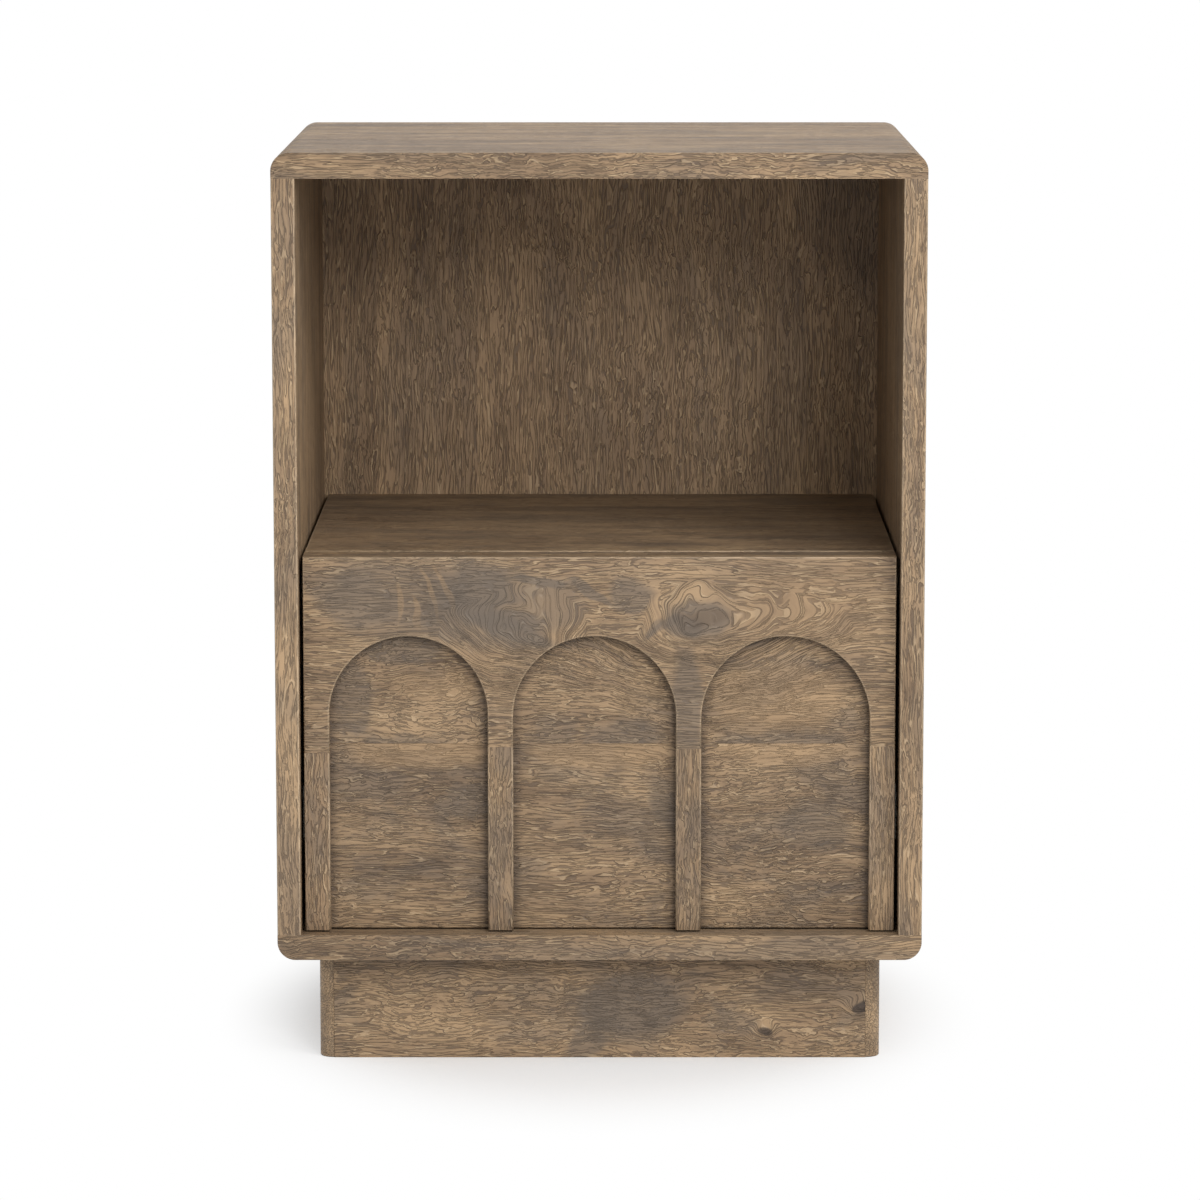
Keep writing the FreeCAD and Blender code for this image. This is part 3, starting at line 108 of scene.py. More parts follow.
def plug(tree, node, **sockets):
    """Gives inputs of a shader node their values. Each is a plain value, an output of another node, or
    another node itself, which stands for its first working output, such as a noise's value."""
    for name, source in sockets.items():
        key = int(name[1:]) if name[0] == "i" and name[1:].isdigit() else name.replace("_", " ")
        if isinstance(source, bpy.types.Node):
            source = next(output for output in source.outputs if output.enabled)
        if isinstance(source, bpy.types.NodeSocket):
            tree.links.new(source, node.inputs[key])
        else:
            node.inputs[key].default_value = source


def add(tree, kind, settings=None, **sockets):
    """Adds a shader node with its settings, or just the name of its operation, and its inputs."""
    node = tree.nodes.new("ShaderNode" + kind)
    if isinstance(settings, str):
        settings = {"operation": settings}
    for name, value in (settings or {}).items():
        setattr(node, name, value)
    plug(tree, node, **sockets)
    return node


def seen_directly(tree):
    """One for rays from the camera, a mirror or glass, zero for light that falls on things."""
    path = add(tree, "LightPath").outputs
    sharp = add(tree, "Math", "MAXIMUM", i0=path["Is Glossy Ray"], i1=path["Is Transmission Ray"])
    return add(tree, "Math", "MAXIMUM", i0=path["Is Camera Ray"], i1=sharp)


SMOOTH = {"interpolation_type": "SMOOTHSTEP"}

# The paper glows a little by itself. Outside an oval round the object it fades to plain white.
FLOOR_WHITE = "EDEDED"
LIFT = 0.1
SHADOW_HALF_WIDTH = 0.32
SHADOW_HALF_DEPTH = 0.44
FADE_START = 0.55
FLOOR_SPAN = 30
SURROUND = "FFFFFF"
SURROUND_STRENGTH = 0.7

floor_material, tree = new_material("white paper sweep")[:2]
tree.nodes.clear()
paper = add(tree, "BsdfDiffuse", Color=colour(FLOOR_WHITE))
lift = add(tree, "Emission", Color=colour("FFFFFF"), Strength=LIFT)
lifted = add(tree, "AddShader", i0=paper, i1=lift)
white = add(tree, "Emission", Color=colour("FFFFFF"), Strength=1)
spot = add(tree, "TexCoord").outputs["Object"]
oval = add(tree, "VectorMath", "MULTIPLY", i0=spot,
           i1=(1 / SHADOW_HALF_WIDTH, 1 / SHADOW_HALF_DEPTH, 1))
far = add(tree, "VectorMath", "LENGTH", i0=oval)
fade = add(tree, "MapRange", SMOOTH, Value=far, From_Min=FADE_START, From_Max=1)
seen = add(tree, "MixShader", i0=fade, i1=lifted, i2=white)
choice = add(tree, "MixShader", i0=seen_directly(tree), i1=paper, i2=seen)
add(tree, "OutputMaterial", Surface=choice)

bm = bmesh.new()
bmesh.ops.create_grid(bm, x_segments=1, y_segments=1, size=FLOOR_SPAN)
floor = in_scene("floor", mesh_of(bm, "floor"))
floor.data.materials.append(floor_material)

world = bpy.data.worlds.new("white surround")
world.use_nodes = True
bpy.context.scene.world = world
tree = world.node_tree
tree.nodes.clear()
ambient = add(tree, "Background", Color=colour(SURROUND), Strength=SURROUND_STRENGTH)
backdrop = add(tree, "Background", Color=colour(SURROUND), Strength=1)
choice = add(tree, "MixShader", i0=seen_directly(tree), i1=ambient, i2=backdrop)
add(tree, "OutputWorld", Surface=choice)


def soft_box(name, place, aim, side, power):
    """A square soft box that points at a spot."""
    lamp = bpy.data.lights.new(name, "AREA")
    lamp.shape = "SQUARE"
    lamp.size = side
    lamp.energy = power
    box = in_scene(name, lamp)
    box.location = place
    box.rotation_euler = (Vector(aim) - Vector(place)).to_track_quat("-Z", "Y").to_euler()


soft_box("key soft box", (1.9, -2.0, 2.6), (0, 0, 0.4), 1.2, 46)
soft_box("front soft box", (1.0, -3.4, 1.8), (0, 0, 0.5), 0.9, 40)


# Top panel: a 20 mm mango board, glued up from staves. It lies over the side panels. Its two outer
# corners are turned to a radius, its arrises are rubbed soft, and a rebate underneath takes the back.

# Mango is a tan hardwood with open dark pores, soft grey-brown streaks and wavy interlocked grain.
# It is wire brushed, a grey wash lies in its hollows, and a matt lacquer leaves almost no shine.
TAN = "AA8D6B"
BROWN = "876E53"
UMBER = "5B4733"
WASH = "6C5F52"
# The pore colour also serves as painted shade, along the arches and in the cubby's corner.
PORE_AND_SHADE = "3B2F26"
PALE_HIGHLIGHT = "CBB18D"
RUBBED = "C9B294"

AXES = {"x": Vector((1, 0, 0)), "y": Vector((0, 1, 0)), "z": Vector((0, 0, 1))}
MIX_COLOURS = {"data_type": "RGBA"}

# How far the outlines of figures wander over the board, in millimetres, and the middle of that.
WANDER = 22
WANDER_MEAN = Vector((WANDER / 2, WANDER / 2, 0))

# How much each figure of the wood adds to its tone.
RING_SHARE = 0.28
STREAK_SHARE = 0.5
DRIFT_SHARE = 0.7
STAVE_SHARE = 0.12

# The tone of the middle brown, and how far from it the darkest and the palest wood lie.
MIDDLE_TONE = 0.67
TONE_REACH = 0.215

# How strongly the pale ridges, partly a painted highlight, and the dark pores cover the wood.
HIGHLIGHT_SHARE = 0.34
PORE_SHARE = 0.57


def board_place(tree, grain, across, shift):
    """A board's own axes, and a spot's place in them in millimetres: x with the grain, y across it."""
    turn = Matrix((AXES[grain], AXES[across], AXES[grain].cross(AXES[across])))
    surface = add(tree, "TexCoord").outputs["Object"]
    plank = add(tree, "Mapping", Vector=surface, Location=shift, Rotation=turn.to_euler(),
                Scale=(1000, 1000, 1000))
    return turn, plank


def washed_mango(name, grain, across, shift, stave=0, wave=1, figure=1, lightness=1, grey=0.5, eyes=(),
                 ovals=(), patches=(), shaded_hollows=()):
    """Washed mango. Lengths are millimetres: x runs with the grain, y across it, z into the board.
    A stave is the width of the strips that a wide panel is glued up from. Wave is how much the grain
    bends, and figure how strongly rings, streaks and drifts of tone stand out.
    Eyes are spots that the grain runs round: spot, half length, half width, how far they push the
    grain aside, and how dark the core is. Ovals are nested rings round a knot: spot, how far they reach
    with x and against it, half their width, and how far the knot pushes the grain aside. Patches have
    another tone: spot, half length, half width, turn in degrees, strength and hue. Shaded hollows are
    round arches, centre and radius, with straight sides below, where shade is painted along the edge.
    Spots and centres are places on the nightstand, in metres."""
    material, tree, shader = new_material("washed mango, " + name.replace("_", " "))
    turn, plank = board_place(tree, grain, across, shift)

    # Figures have uneven outlines: their places wander by up to 11 mm.
    wander = add(tree, "TexNoise", Vector=plank, Scale=1 / 32, Detail=1)
    uneven = add(tree, "VectorMath", "MULTIPLY_ADD", i0=wander.outputs["Color"],
                 i1=(WANDER, WANDER, 0), i2=plank)

    def around(spot, length, width, angle=0):
        """Where a place lies in an oval round a spot: zero at its centre, and one away at its rim."""
        centre = turn @ Vector(spot) * 1000 + Vector(shift) + WANDER_MEAN
        return add(tree, "Mapping", {"vector_type": "TEXTURE"}, Vector=uneven, Location=centre,
                   Rotation=(0, 0, math.radians(angle)), Scale=(length, width, 1000))

    # Eyes push the grain aside, so that the lines bend round them.
    cores = []
    pushes = []
    for spot, length, width, push, dark in eyes:
        far = add(tree, "VectorMath", "LENGTH", i0=around(spot, length, width))
        cores.append((far, dark))
        pushes.append(add(tree, "MapRange", SMOOTH, Value=far, From_Min=1, From_Max=0, To_Max=push))

    # Round a knot the lines close in nested ovals, which reach further on one side than on the other.
    for spot, ahead, behind, width, push in ovals:
        parts = add(tree, "SeparateXYZ", Vector=around(spot, ahead, width))
        back = add(tree, "Math", "MULTIPLY", i0=parts.outputs["X"], i1=-ahead / behind)
        reach = add(tree, "Math", "MAXIMUM", i0=parts.outputs["X"], i1=back)
        oval = add(tree, "CombineXYZ", X=reach, Y=parts.outputs["Y"])
        far = add(tree, "VectorMath", "LENGTH", i0=oval)
        pushes.append(add(tree, "MapRange", Value=far, From_Min=1, From_Max=0, To_Max=push))

    # Each stave is cut from another place in the log.
    fibre = plank
    if stave:
        parts = add(tree, "SeparateXYZ", Vector=plank)
        strip = add(tree, "Math", "DIVIDE", i0=parts.outputs["Y"], i1=stave)
        strip = add(tree, "Math", "FLOOR", i0=strip)
        lot = add(tree, "TexWhiteNoise", {"noise_dimensions": "1D"}, W=strip)
        stave_tone = lot.outputs["Value"]
        fibre = add(tree, "VectorMath", "MULTIPLY_ADD", i0=lot.outputs["Color"], i1=(900, 160, 120),
                    i2=plank)
    for pushed in pushes:
        aside = add(tree, "CombineXYZ", Y=pushed)
        fibre = add(tree, "VectorMath", "ADD", i0=fibre, i1=aside)

    # Noise that follows the fibres, by its length and width: long slow bends of the grain, the ripple
    # of interlocked grain, how that comes and goes, and clouds where the grey wash stayed on. The bends
    # carry the grain up to 13 mm aside, and the ripple up to 3 mm.
    field = {}
    for part, length, width, settings in (
            ("bends", 150, 60, {"Detail": 2}), ("ripple", 14, 18, {"Detail": 2, "Roughness": 0.55}),
            ("calm", 80, 80, {"Detail": 1}),
            ("cloud", 180 if stave else 70, 38, {"Detail": 4, "Roughness": 0.6, "Distortion": 0.8})):
        place = add(tree, "VectorMath", "MULTIPLY", i0=fibre, i1=(1 / length, 1 / width, 1 / width))
        field[part] = add(tree, "TexNoise", Vector=place, Scale=1, **settings)
    bent = add(tree, "VectorMath", "MULTIPLY_ADD", i0=field["bends"].outputs["Color"],
               i1=(0, 26 * wave, 26 * wave), i2=fibre)
    swing = add(tree, "MapRange", SMOOTH, Value=field["calm"], From_Min=0.42, From_Max=0.62,
                To_Min=1.5 * wave, To_Max=6 * wave)
    swung = add(tree, "VectorMath", "SCALE", i0=field["ripple"].outputs["Color"], Scale=swing)
    bent = add(tree, "VectorMath", "ADD", i0=bent, i1=swung)
    cloud = add(tree, "MapRange", SMOOTH, Value=field["cloud"], From_Min=0.44, From_Max=0.66,
                To_Max=grey)

    # Growth rings, about 7 mm apart, round a pith that runs at a slant under the board.
    pith = add(tree, "VectorMath", "SUBTRACT", i0=bent, i1=(0, 0, 70))
    parts = add(tree, "SeparateXYZ", Vector=pith)
    deep = add(tree, "Math", "MULTIPLY_ADD", i0=parts.outputs["X"], i1=0.1, i2=parts.outputs["Z"])
    radial = add(tree, "CombineXYZ", Y=parts.outputs["Y"], Z=deep)
    radius = add(tree, "VectorMath", "LENGTH", i0=radial)
    ring = add(tree, "Math", "DIVIDE", i0=radius, i1=7)
    growth = add(tree, "TexNoise", {"noise_dimensions": "1D"}, W=ring, Scale=1, Detail=2, Roughness=0.6)

    # Noise that follows the bent grain: fibre streaks, open pores, and broad drifts of tone, longer on
    # wide panels. Real pores are 0.3 mm wide: some 0.7 mm is the finest that shows.
    for part, length, width, settings in (
            ("streak", 30, 1.8, {"Detail": 3, "Roughness": 0.6}), ("pores", 16, 1 / 1.1, {"Detail": 1}),
            ("drift", 200 if stave else 110, 30, {"Detail": 2})):
        place = add(tree, "VectorMath", "MULTIPLY", i0=bent, i1=(1 / length, 1 / width, 1 / width))
        field[part] = add(tree, "TexNoise", Vector=place, Scale=1, **settings)
    dash = add(tree, "MapRange", SMOOTH, Value=field["pores"], From_Min=0.59, From_Max=0.65,
               To_Max=0.9)

    # Long vessel lines, drawn where another noise crosses its middle: 0.6 mm wide, 3 mm apart. Beside
    # each of them a ridge of hard grain stands, left pale by the wire brush and painted paler as a
    # highlight.
    place = add(tree, "VectorMath", "MULTIPLY", i0=bent, i1=(1 / 34, 1 / 2.2, 1 / 2.2))
    vessels = add(tree, "TexNoise", {"noise_dimensions": "4D"}, Vector=place, W=3, Scale=1, Detail=0)
    lines = []
    for level, start, strength in ((0.5, 0.05, 0.95), (0.58, 0.055, 1)):
        apart = add(tree, "Math", "SUBTRACT", i0=vessels, i1=level)
        apart = add(tree, "Math", "ABSOLUTE", i0=apart)
        lines.append(add(tree, "MapRange", SMOOTH, Value=apart, From_Min=start, From_Max=0.015,
                         To_Max=strength))
    vessel, ridge_highlight = lines
    pore = add(tree, "Math", "MAXIMUM", i0=dash, i1=vessel)

    # The tone of a spot adds up from rings, streaks, drift and stave.
    figures = [(field["streak"], STREAK_SHARE), (field["drift"], DRIFT_SHARE)]
    if stave:
        figures.append((stave_tone, STAVE_SHARE))
    tone = add(tree, "Math", "MULTIPLY", i0=growth, i1=RING_SHARE)
    for source, share in figures:
        tone = add(tree, "Math", "MULTIPLY_ADD", i0=source, i1=share, i2=tone)
    ramp = add(tree, "ValToRGB", Fac=tone)
    stops = ramp.color_ramp.elements
    stops[0].position = MIDDLE_TONE - TONE_REACH / figure
    stops[0].color = colour(UMBER)
    stops[1].position = MIDDLE_TONE + TONE_REACH / figure
    stops[1].color = colour(TAN)
    middle = stops.new(MIDDLE_TONE)
    middle.color = colour(BROWN)

    # Over it lie the pale ridges with their painted highlight, the grey wash and the dark pores, then
    # the patches like a veil.
    highlight_share = add(tree, "Math", "MULTIPLY", i0=ridge_highlight, i1=HIGHLIGHT_SHARE)
    pore_share = add(tree, "Math", "MULTIPLY", i0=pore, i1=PORE_SHARE)
    layers = [(highlight_share, PALE_HIGHLIGHT), (cloud, WASH), (pore_share, PORE_AND_SHADE)]
    for spot, length, width, angle, strength, hue in patches:
        far = add(tree, "VectorMath", "LENGTH", i0=around(spot, length, width, angle))
        patch = add(tree, "MapRange", SMOOTH, Value=far, From_Min=1.1, From_Max=0.62, To_Max=strength)
        layers.append((patch, hue))

    # An eye has a dark, tight core.
    for far, dark in cores:
        core = add(tree, "MapRange", SMOOTH, Value=far, From_Min=0.4, From_Max=0.1, To_Max=dark)
        layers.append((core, PORE_AND_SHADE))

    # Painted shade lies in the corner all along a hollow, for some 9 mm.
    for spot, reach in shaded_hollows:
        centre = turn @ Vector(spot) * 1000 + Vector(shift)
        away = add(tree, "VectorMath", "SUBTRACT", i0=plank, i1=centre)
        parts = add(tree, "SeparateXYZ", Vector=away)
        above = add(tree, "Math", "MAXIMUM", i0=parts.outputs["Y"], i1=0)
        bow = add(tree, "CombineXYZ", X=parts.outputs["X"], Y=above)
        far = add(tree, "VectorMath", "LENGTH", i0=bow)
        outside = add(tree, "Math", "LESS_THAN", i0=far, i1=reach + 3)
        painted_shade = add(tree, "MapRange", SMOOTH, Value=far, From_Min=reach - 9, From_Max=reach + 1,
                   To_Max=0.55)
        painted_shade = add(tree, "Math", "MULTIPLY", i0=painted_shade, i1=outside)
        layers.append((painted_shade, PORE_AND_SHADE))

    # Rubbed arrises show paler wood in patches.
    edge = add(tree, "Attribute", {"attribute_name": "worn"})
    rub = add(tree, "Math", "MULTIPLY", i0=edge.outputs["Fac"], i1=field["streak"])
    layers.append((rub, RUBBED))
    wood = ramp.outputs["Color"]
    for share, hue in layers:
        wood = add(tree, "Mix", MIX_COLOURS, i0=share, i6=wood, i7=colour(hue))
    shade = add(tree, "HueSaturation", Color=wood, Value=lightness)

    # Brushed relief: pores are sunk and the hard ridges stand proud, by up to 0.4 mm.
    height = add(tree, "Math", "SUBTRACT", i0=ridge_highlight, i1=pore)
    relief = add(tree, "Bump", Height=height, Strength=0.9, Distance=0.0005)
    plug(tree, shader, Base_Color=shade, Normal=relief, Roughness=0.55)
    return material


# Metres: points that are closer than this are one point, and an edge that is nearer than this to a
# value lies at it.
ONE_POINT = 0.000001
AT_VALUE = 0.00001


def blank(low, high):
    """A board sawn to size, between two corners."""
    bm = bmesh.new()
    bmesh.ops.create_cube(bm, size=1)
    low = Vector(low)
    high = Vector(high)
    bmesh.ops.scale(bm, vec=high - low, verts=bm.verts)
    bmesh.ops.translate(bm, vec=(low + high) / 2, verts=bm.verts)
    bm.faces.layers.float.new("worn")
    return bm


def passing(bm):
    """A passing object for a shape, which modifiers work on or cut with."""
    return in_scene("shape", mesh_of(bm, "shape"))


def clear_away(*items):
    """Removes shapes that have done their work, with their meshes."""
    for item in items:
        mesh = item.data
        bpy.data.objects.remove(item)
        bpy.data.meshes.remove(mesh)


def worked(bm, steps):
    """The shape after some modifiers, each given as its kind and its settings."""
    item = passing(bm)
    for kind, settings in steps:
        step = item.modifiers.new("step", kind)
        for name, value in settings.items():
            setattr(step, name, value)
    result = bpy.data.meshes.new_from_object(item.evaluated_get(bpy.context.evaluated_depsgraph_get()))
    shape = bmesh.new()
    shape.from_mesh(result)
    bpy.data.meshes.remove(result)
    clear_away(item)
    if "worn" not in shape.faces.layers.float:
        shape.faces.layers.float.new("worn")
    return shape


def holes_for(node):
    """The shape of the holes that a CAD node's fasteners fill."""
    bm = bmesh.new()
    bm.from_mesh(frame["nodes"][node].data)
    bmesh.ops.remove_doubles(bm, verts=bm.verts, dist=ONE_POINT)
    return bm


def cut(bm, *cutters):
    """Cuts into a piece. A cutter is a shape, which it uses up, or a CAD node, whose holes it cuts."""
    items = [passing(holes_for(cutter) if isinstance(cutter, str) else cutter) for cutter in cutters]
    shape = worked(bm, [("BOOLEAN", {"operation": "DIFFERENCE", "solver": "EXACT", "object": item})
                        for item in items])
    clear_away(*items)
    return shape


def bevelled(bm, edges, width, segments):
    """Bevels some edges, round when there are several segments, and gives the new faces."""
    return bmesh.ops.bevel(bm, geom=edges, offset=width, offset_type="OFFSET", segments=segments,
                           profile=0.5, affect="EDGES", clamp_overlap=True, material=-1)["faces"]


def round_over(bm, wanted, radius, segments, worn=0.0):
    """Rounds over the edges that pass the test. The new faces are smooth, and as worn as said."""
    edges = [edge for edge in bm.edges if wanted(*(vert.co for vert in edge.verts))]
    faces = bevelled(bm, edges, radius, segments)
    layer = bm.faces.layers.float["worn"]
    for face in faces:
        face.smooth = True
        face[layer] = worn


def finished(name, bm, material, body, slot, *nodes):
    """Puts a shaped piece on its body, in place of the nodes that it stands for."""
    piece = in_scene(name, mesh_of(bm, name))
    piece.data.materials.append(material)
    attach(piece, body)
    if nodes:
        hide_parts(*nodes)
    return piece


def both(first, second, axis, value):
    """True where both ends of an edge lie at a value on an axis."""
    return abs(first[axis] - value) < AT_VALUE and abs(second[axis] - value) < AT_VALUE


# Metres: the turned corners, the arrises and how far from the outer face they are rubbed, the room
# round the back panel, and how far a cutter stands out of the wood.
CORNER_RADIUS = 0.0142
ARRIS = 0.0012
RUBBED_BAND = 0.0105
BACK_ROOM = Vector((0.0005, 0, 0.0005))
OVERCUT = 0.01
X, Y, Z = 0, 1, 2


def back_rebate():
    """The pocket that the back panel drops into, with its room all round."""
    low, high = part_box("back_panel")
    return blank(low - BACK_ROOM, high + BACK_ROOM + Vector((0, OVERCUT, 0)))


def lying_panel(node, outer, *fasteners):
    """The top or the bottom board, whose outer face lies at a given height. Two corners are turned,
    and the arrises in a band along the outer face are rubbed."""
    low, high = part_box(node)
    bm = cut(blank(low, high), back_rebate())
    round_over(bm, lambda a, b: both(a, b, Z, outer) and abs(a.x) > high.x - ARRIS and a.x == b.x,
               CORNER_RADIUS, 16)
    round_over(bm, lambda a, b: (both(a, b, Y, low.y) or both(a, b, Y, high.y)) and
               min(abs(a.z - outer), abs(b.z - outer)) < RUBBED_BAND, ARRIS, 3, 0.8)
    return cut(bm, *fasteners)


bm = lying_panel("top_panel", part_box("top_panel")[1].z, "case_dowels", "back_panel_screws")
wood = washed_mango("top", "x", "y", (0, 0, 0), stave=95)
finished("top_board", bm, wood, "case", "washed_mango", "top_panel")


# Bottom panel: the same board turned over. It runs under the side panels, and the plinth's long
# screws come up into it from below.
bm = lying_panel("bottom_panel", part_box("bottom_panel")[0].z, "case_dowels", "back_panel_screws",
                 "plinth_screws")
wood = washed_mango("bottom", "x", "y", (400, 40, 10), stave=95, lightness=0.92)
finished("bottom_board", bm, wood, "case", "washed_mango", "bottom_panel")


# Side panels: two upright boards between the top and bottom panels, glued and doweled to them, with
# softened front arrises and the same rebate behind. The cleats and the slides screw to them.
for side, end in (("left", -1), ("right", 1)):
    low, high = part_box(side + "_side_panel")
    outer = low.x if end < 0 else high.x
    bm = cut(blank(low, high), back_rebate())
    round_over(bm, lambda a, b: a.x == b.x and a.y == b.y and (
        both(a, b, Y, low.y) or (both(a, b, Y, high.y) and both(a, b, X, outer))), ARRIS, 3, 0.8)
    bm = cut(bm, "case_dowels", "back_panel_screws", "cleat_screws", "slide_case_screws")
    wood = washed_mango(side + " side", "z", "y", (575 + 325 * end, 30, 0), stave=90,
                        lightness=1.05 - 0.04 * end)
    finished(side + "_side_board", bm, wood, "case", "washed_mango", side + "_side_panel")


# Case dowels: fluted pegs of raw beech, chamfered at both ends so that they start easily. They are
# glued, half in the side panels and half in the top and bottom panels.
BEECH = "DDBB93"
BEECH_DARK = "C09A70"
RAY = "A97F56"


def raw_beech():
    """Raw beech: pale pinkish tan, even, with short dark ray flecks about 2 mm long."""
    material, tree, shader = new_material("raw beech, turned")
    surface = add(tree, "TexCoord").outputs["Object"]
    soft = add(tree, "TexNoise", Vector=surface, Scale=1 / 0.006, Detail=3)
    base = add(tree, "Mix", MIX_COLOURS, i0=soft, i6=colour(BEECH), i7=colour(BEECH_DARK))
    place = add(tree, "VectorMath", "MULTIPLY", i0=surface, i1=(1 / 0.0006, 1 / 0.0006, 1 / 0.002))
    noise = add(tree, "TexNoise", Vector=place, Scale=1, Detail=1)
    ray = add(tree, "MapRange", Value=noise, From_Min=0.56, From_Max=0.7, To_Max=0.6)
    rayed = add(tree, "Mix", MIX_COLOURS, i0=ray, i6=base, i7=colour(RAY))
    relief = add(tree, "Bump", Height=noise, Strength=0.5, Distance=0.0001)
    plug(tree, shader, Base_Color=rayed, Normal=relief, Roughness=0.7)
    return material


def solids_in(node):
    """The lowest and highest corner of each separate solid in a CAD node."""
    bm = holes_for(node)
    waiting = set(bm.verts)
    boxes = []
    while waiting:
        reached = [waiting.pop()]
        for vert in reached:
            for edge in vert.link_edges:
                other = edge.other_vert(vert)
                if other in waiting:
                    waiting.discard(other)
                    reached.append(other)
        low = [min(vert.co[axis] for vert in reached) for axis in (X, Y, Z)]
        high = [max(vert.co[axis] for vert in reached) for axis in (X, Y, Z)]
        boxes.append((low, high))
    bm.free()
    return [(Vector(low), Vector(high)) for low, high in sorted(boxes)]


def dowel(radius, length):
    """A peg along +Z from zero, with chamfered ends and a flute, 6 % deep, at every third line."""
    count = 36
    bm = bmesh.new()
    bmesh.ops.create_cone(bm, cap_ends=True, segments=count, radius1=radius, radius2=radius,
                          depth=length)
    rims = [edge for edge in bm.edges if abs(edge.verts[0].co.z - edge.verts[1].co.z) < length / 2]
    bevelled(bm, rims, radius / 5, 1)
    flutes = [vert for vert in bm.verts
              if round(math.atan2(vert.co.y, vert.co.x) / math.tau * count) % 3 == 0]
    bmesh.ops.scale(bm, vec=(0.94, 0.94, 1), verts=flutes)
    bmesh.ops.translate(bm, vec=(0, 0, length / 2), verts=bm.verts)
    return bm


def join(bm, other):
    """Moves another shape into this one."""
    mesh = mesh_of(other, "other")
    bm.from_mesh(mesh)
    bpy.data.meshes.remove(mesh)


def set_down(bm, small, spot, direction):
    """Moves a small shape made along +Z into a piece, at a spot and turned to a direction."""
    turn = Vector((0, 0, 1)).rotation_difference(Vector(direction)).to_matrix().to_4x4()
    bmesh.ops.transform(small, matrix=Matrix.Translation(spot) @ turn, verts=small.verts)
    join(bm, small)


beech = raw_beech()
bm = bmesh.new()
for low, high in solids_in("case_dowels"):
    middle = (low + high) / 2
    set_down(bm, dowel((high.x - low.x) / 2, high.z - low.z), (middle.x, middle.y, low.z), (0, 0, 1))
finished("beech_case_pegs", bm, beech, "case", "beech_dowel", "case_dowels")


# Back panel: a 12 mm mango panel of upright staves that drops into the rebates from behind, held by
# countersunk screws all round. Its grain is calm and pale, with painted shade at the cubby's upper
# right.
BACK_CHAMFER = 0.0005
low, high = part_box("back_panel")
bm = blank(low, high)
round_over(bm, lambda a, b: both(a, b, Y, high.y), BACK_CHAMFER, 1)
bm = cut(bm, "back_panel_screws", "latch_screws")
# A dark patch in the pore colour is painted shade in the cubby's upper right corner.
back_wood = washed_mango("back", "z", "x", (100, 20, 5), stave=85, wave=0.8, figure=0.6,
                         lightness=1.25, grey=0.3,
                         patches=(((0.245, 0.191, 0.69), 150, 75, 0, 0.52, PORE_AND_SHADE),))
finished("back_board", bm, back_wood, "case", "washed_mango", "back_panel")


# Wood screws: zinc plated steel with a cross recess, a countersunk head and a rolled thread. The
# plating is a cool silver with a faint yellow cast and fine marks from the barrel it was plated in.
ZINC = "C4C2BA"
ZINC_DULL = "A5A29A"


def zinc_plated(name, grit, roughness, metallic=1):
    """Zinc plate: a metal shine broken by fine dull specks of a given size in metres."""
    material, tree, shader = new_material(name)
    surface = add(tree, "TexCoord").outputs["Object"]
    place = add(tree, "VectorMath", "SCALE", i0=surface, Scale=1 / grit)
    speck = add(tree, "TexNoise", Vector=place, Scale=1, Detail=3, Roughness=0.6)
    plate = add(tree, "Mix", MIX_COLOURS, i0=speck, i6=colour(ZINC), i7=colour(ZINC_DULL))
    gloss = add(tree, "MapRange", Value=speck, From_Min=0.3, From_Max=0.7, To_Min=roughness - 0.08,
                To_Max=roughness + 0.08)
    relief = add(tree, "Bump", Height=speck, Strength=0.3, Distance=0.00003)
    plug(tree, shader, Base_Color=plate, Roughness=gloss, Normal=relief, Metallic=metallic)
    return material


def turned(points, segments):
    """A shape turned round +Z from a profile of radius and height."""
    bm = bmesh.new()
    line = [bm.verts.new((radius, 0, height)) for radius, height in points]
    edges = [bm.edges.new(pair) for pair in zip(line, line[1:])]
    bmesh.ops.spin(bm, geom=line + edges, cent=(0, 0, 0), axis=(0, 0, 1), angle=math.tau,
                   steps=segments, use_merge=True)
    bmesh.ops.remove_doubles(bm, verts=bm.verts, dist=ONE_POINT)
    bmesh.ops.recalc_face_normals(bm, faces=bm.faces)
    return bm


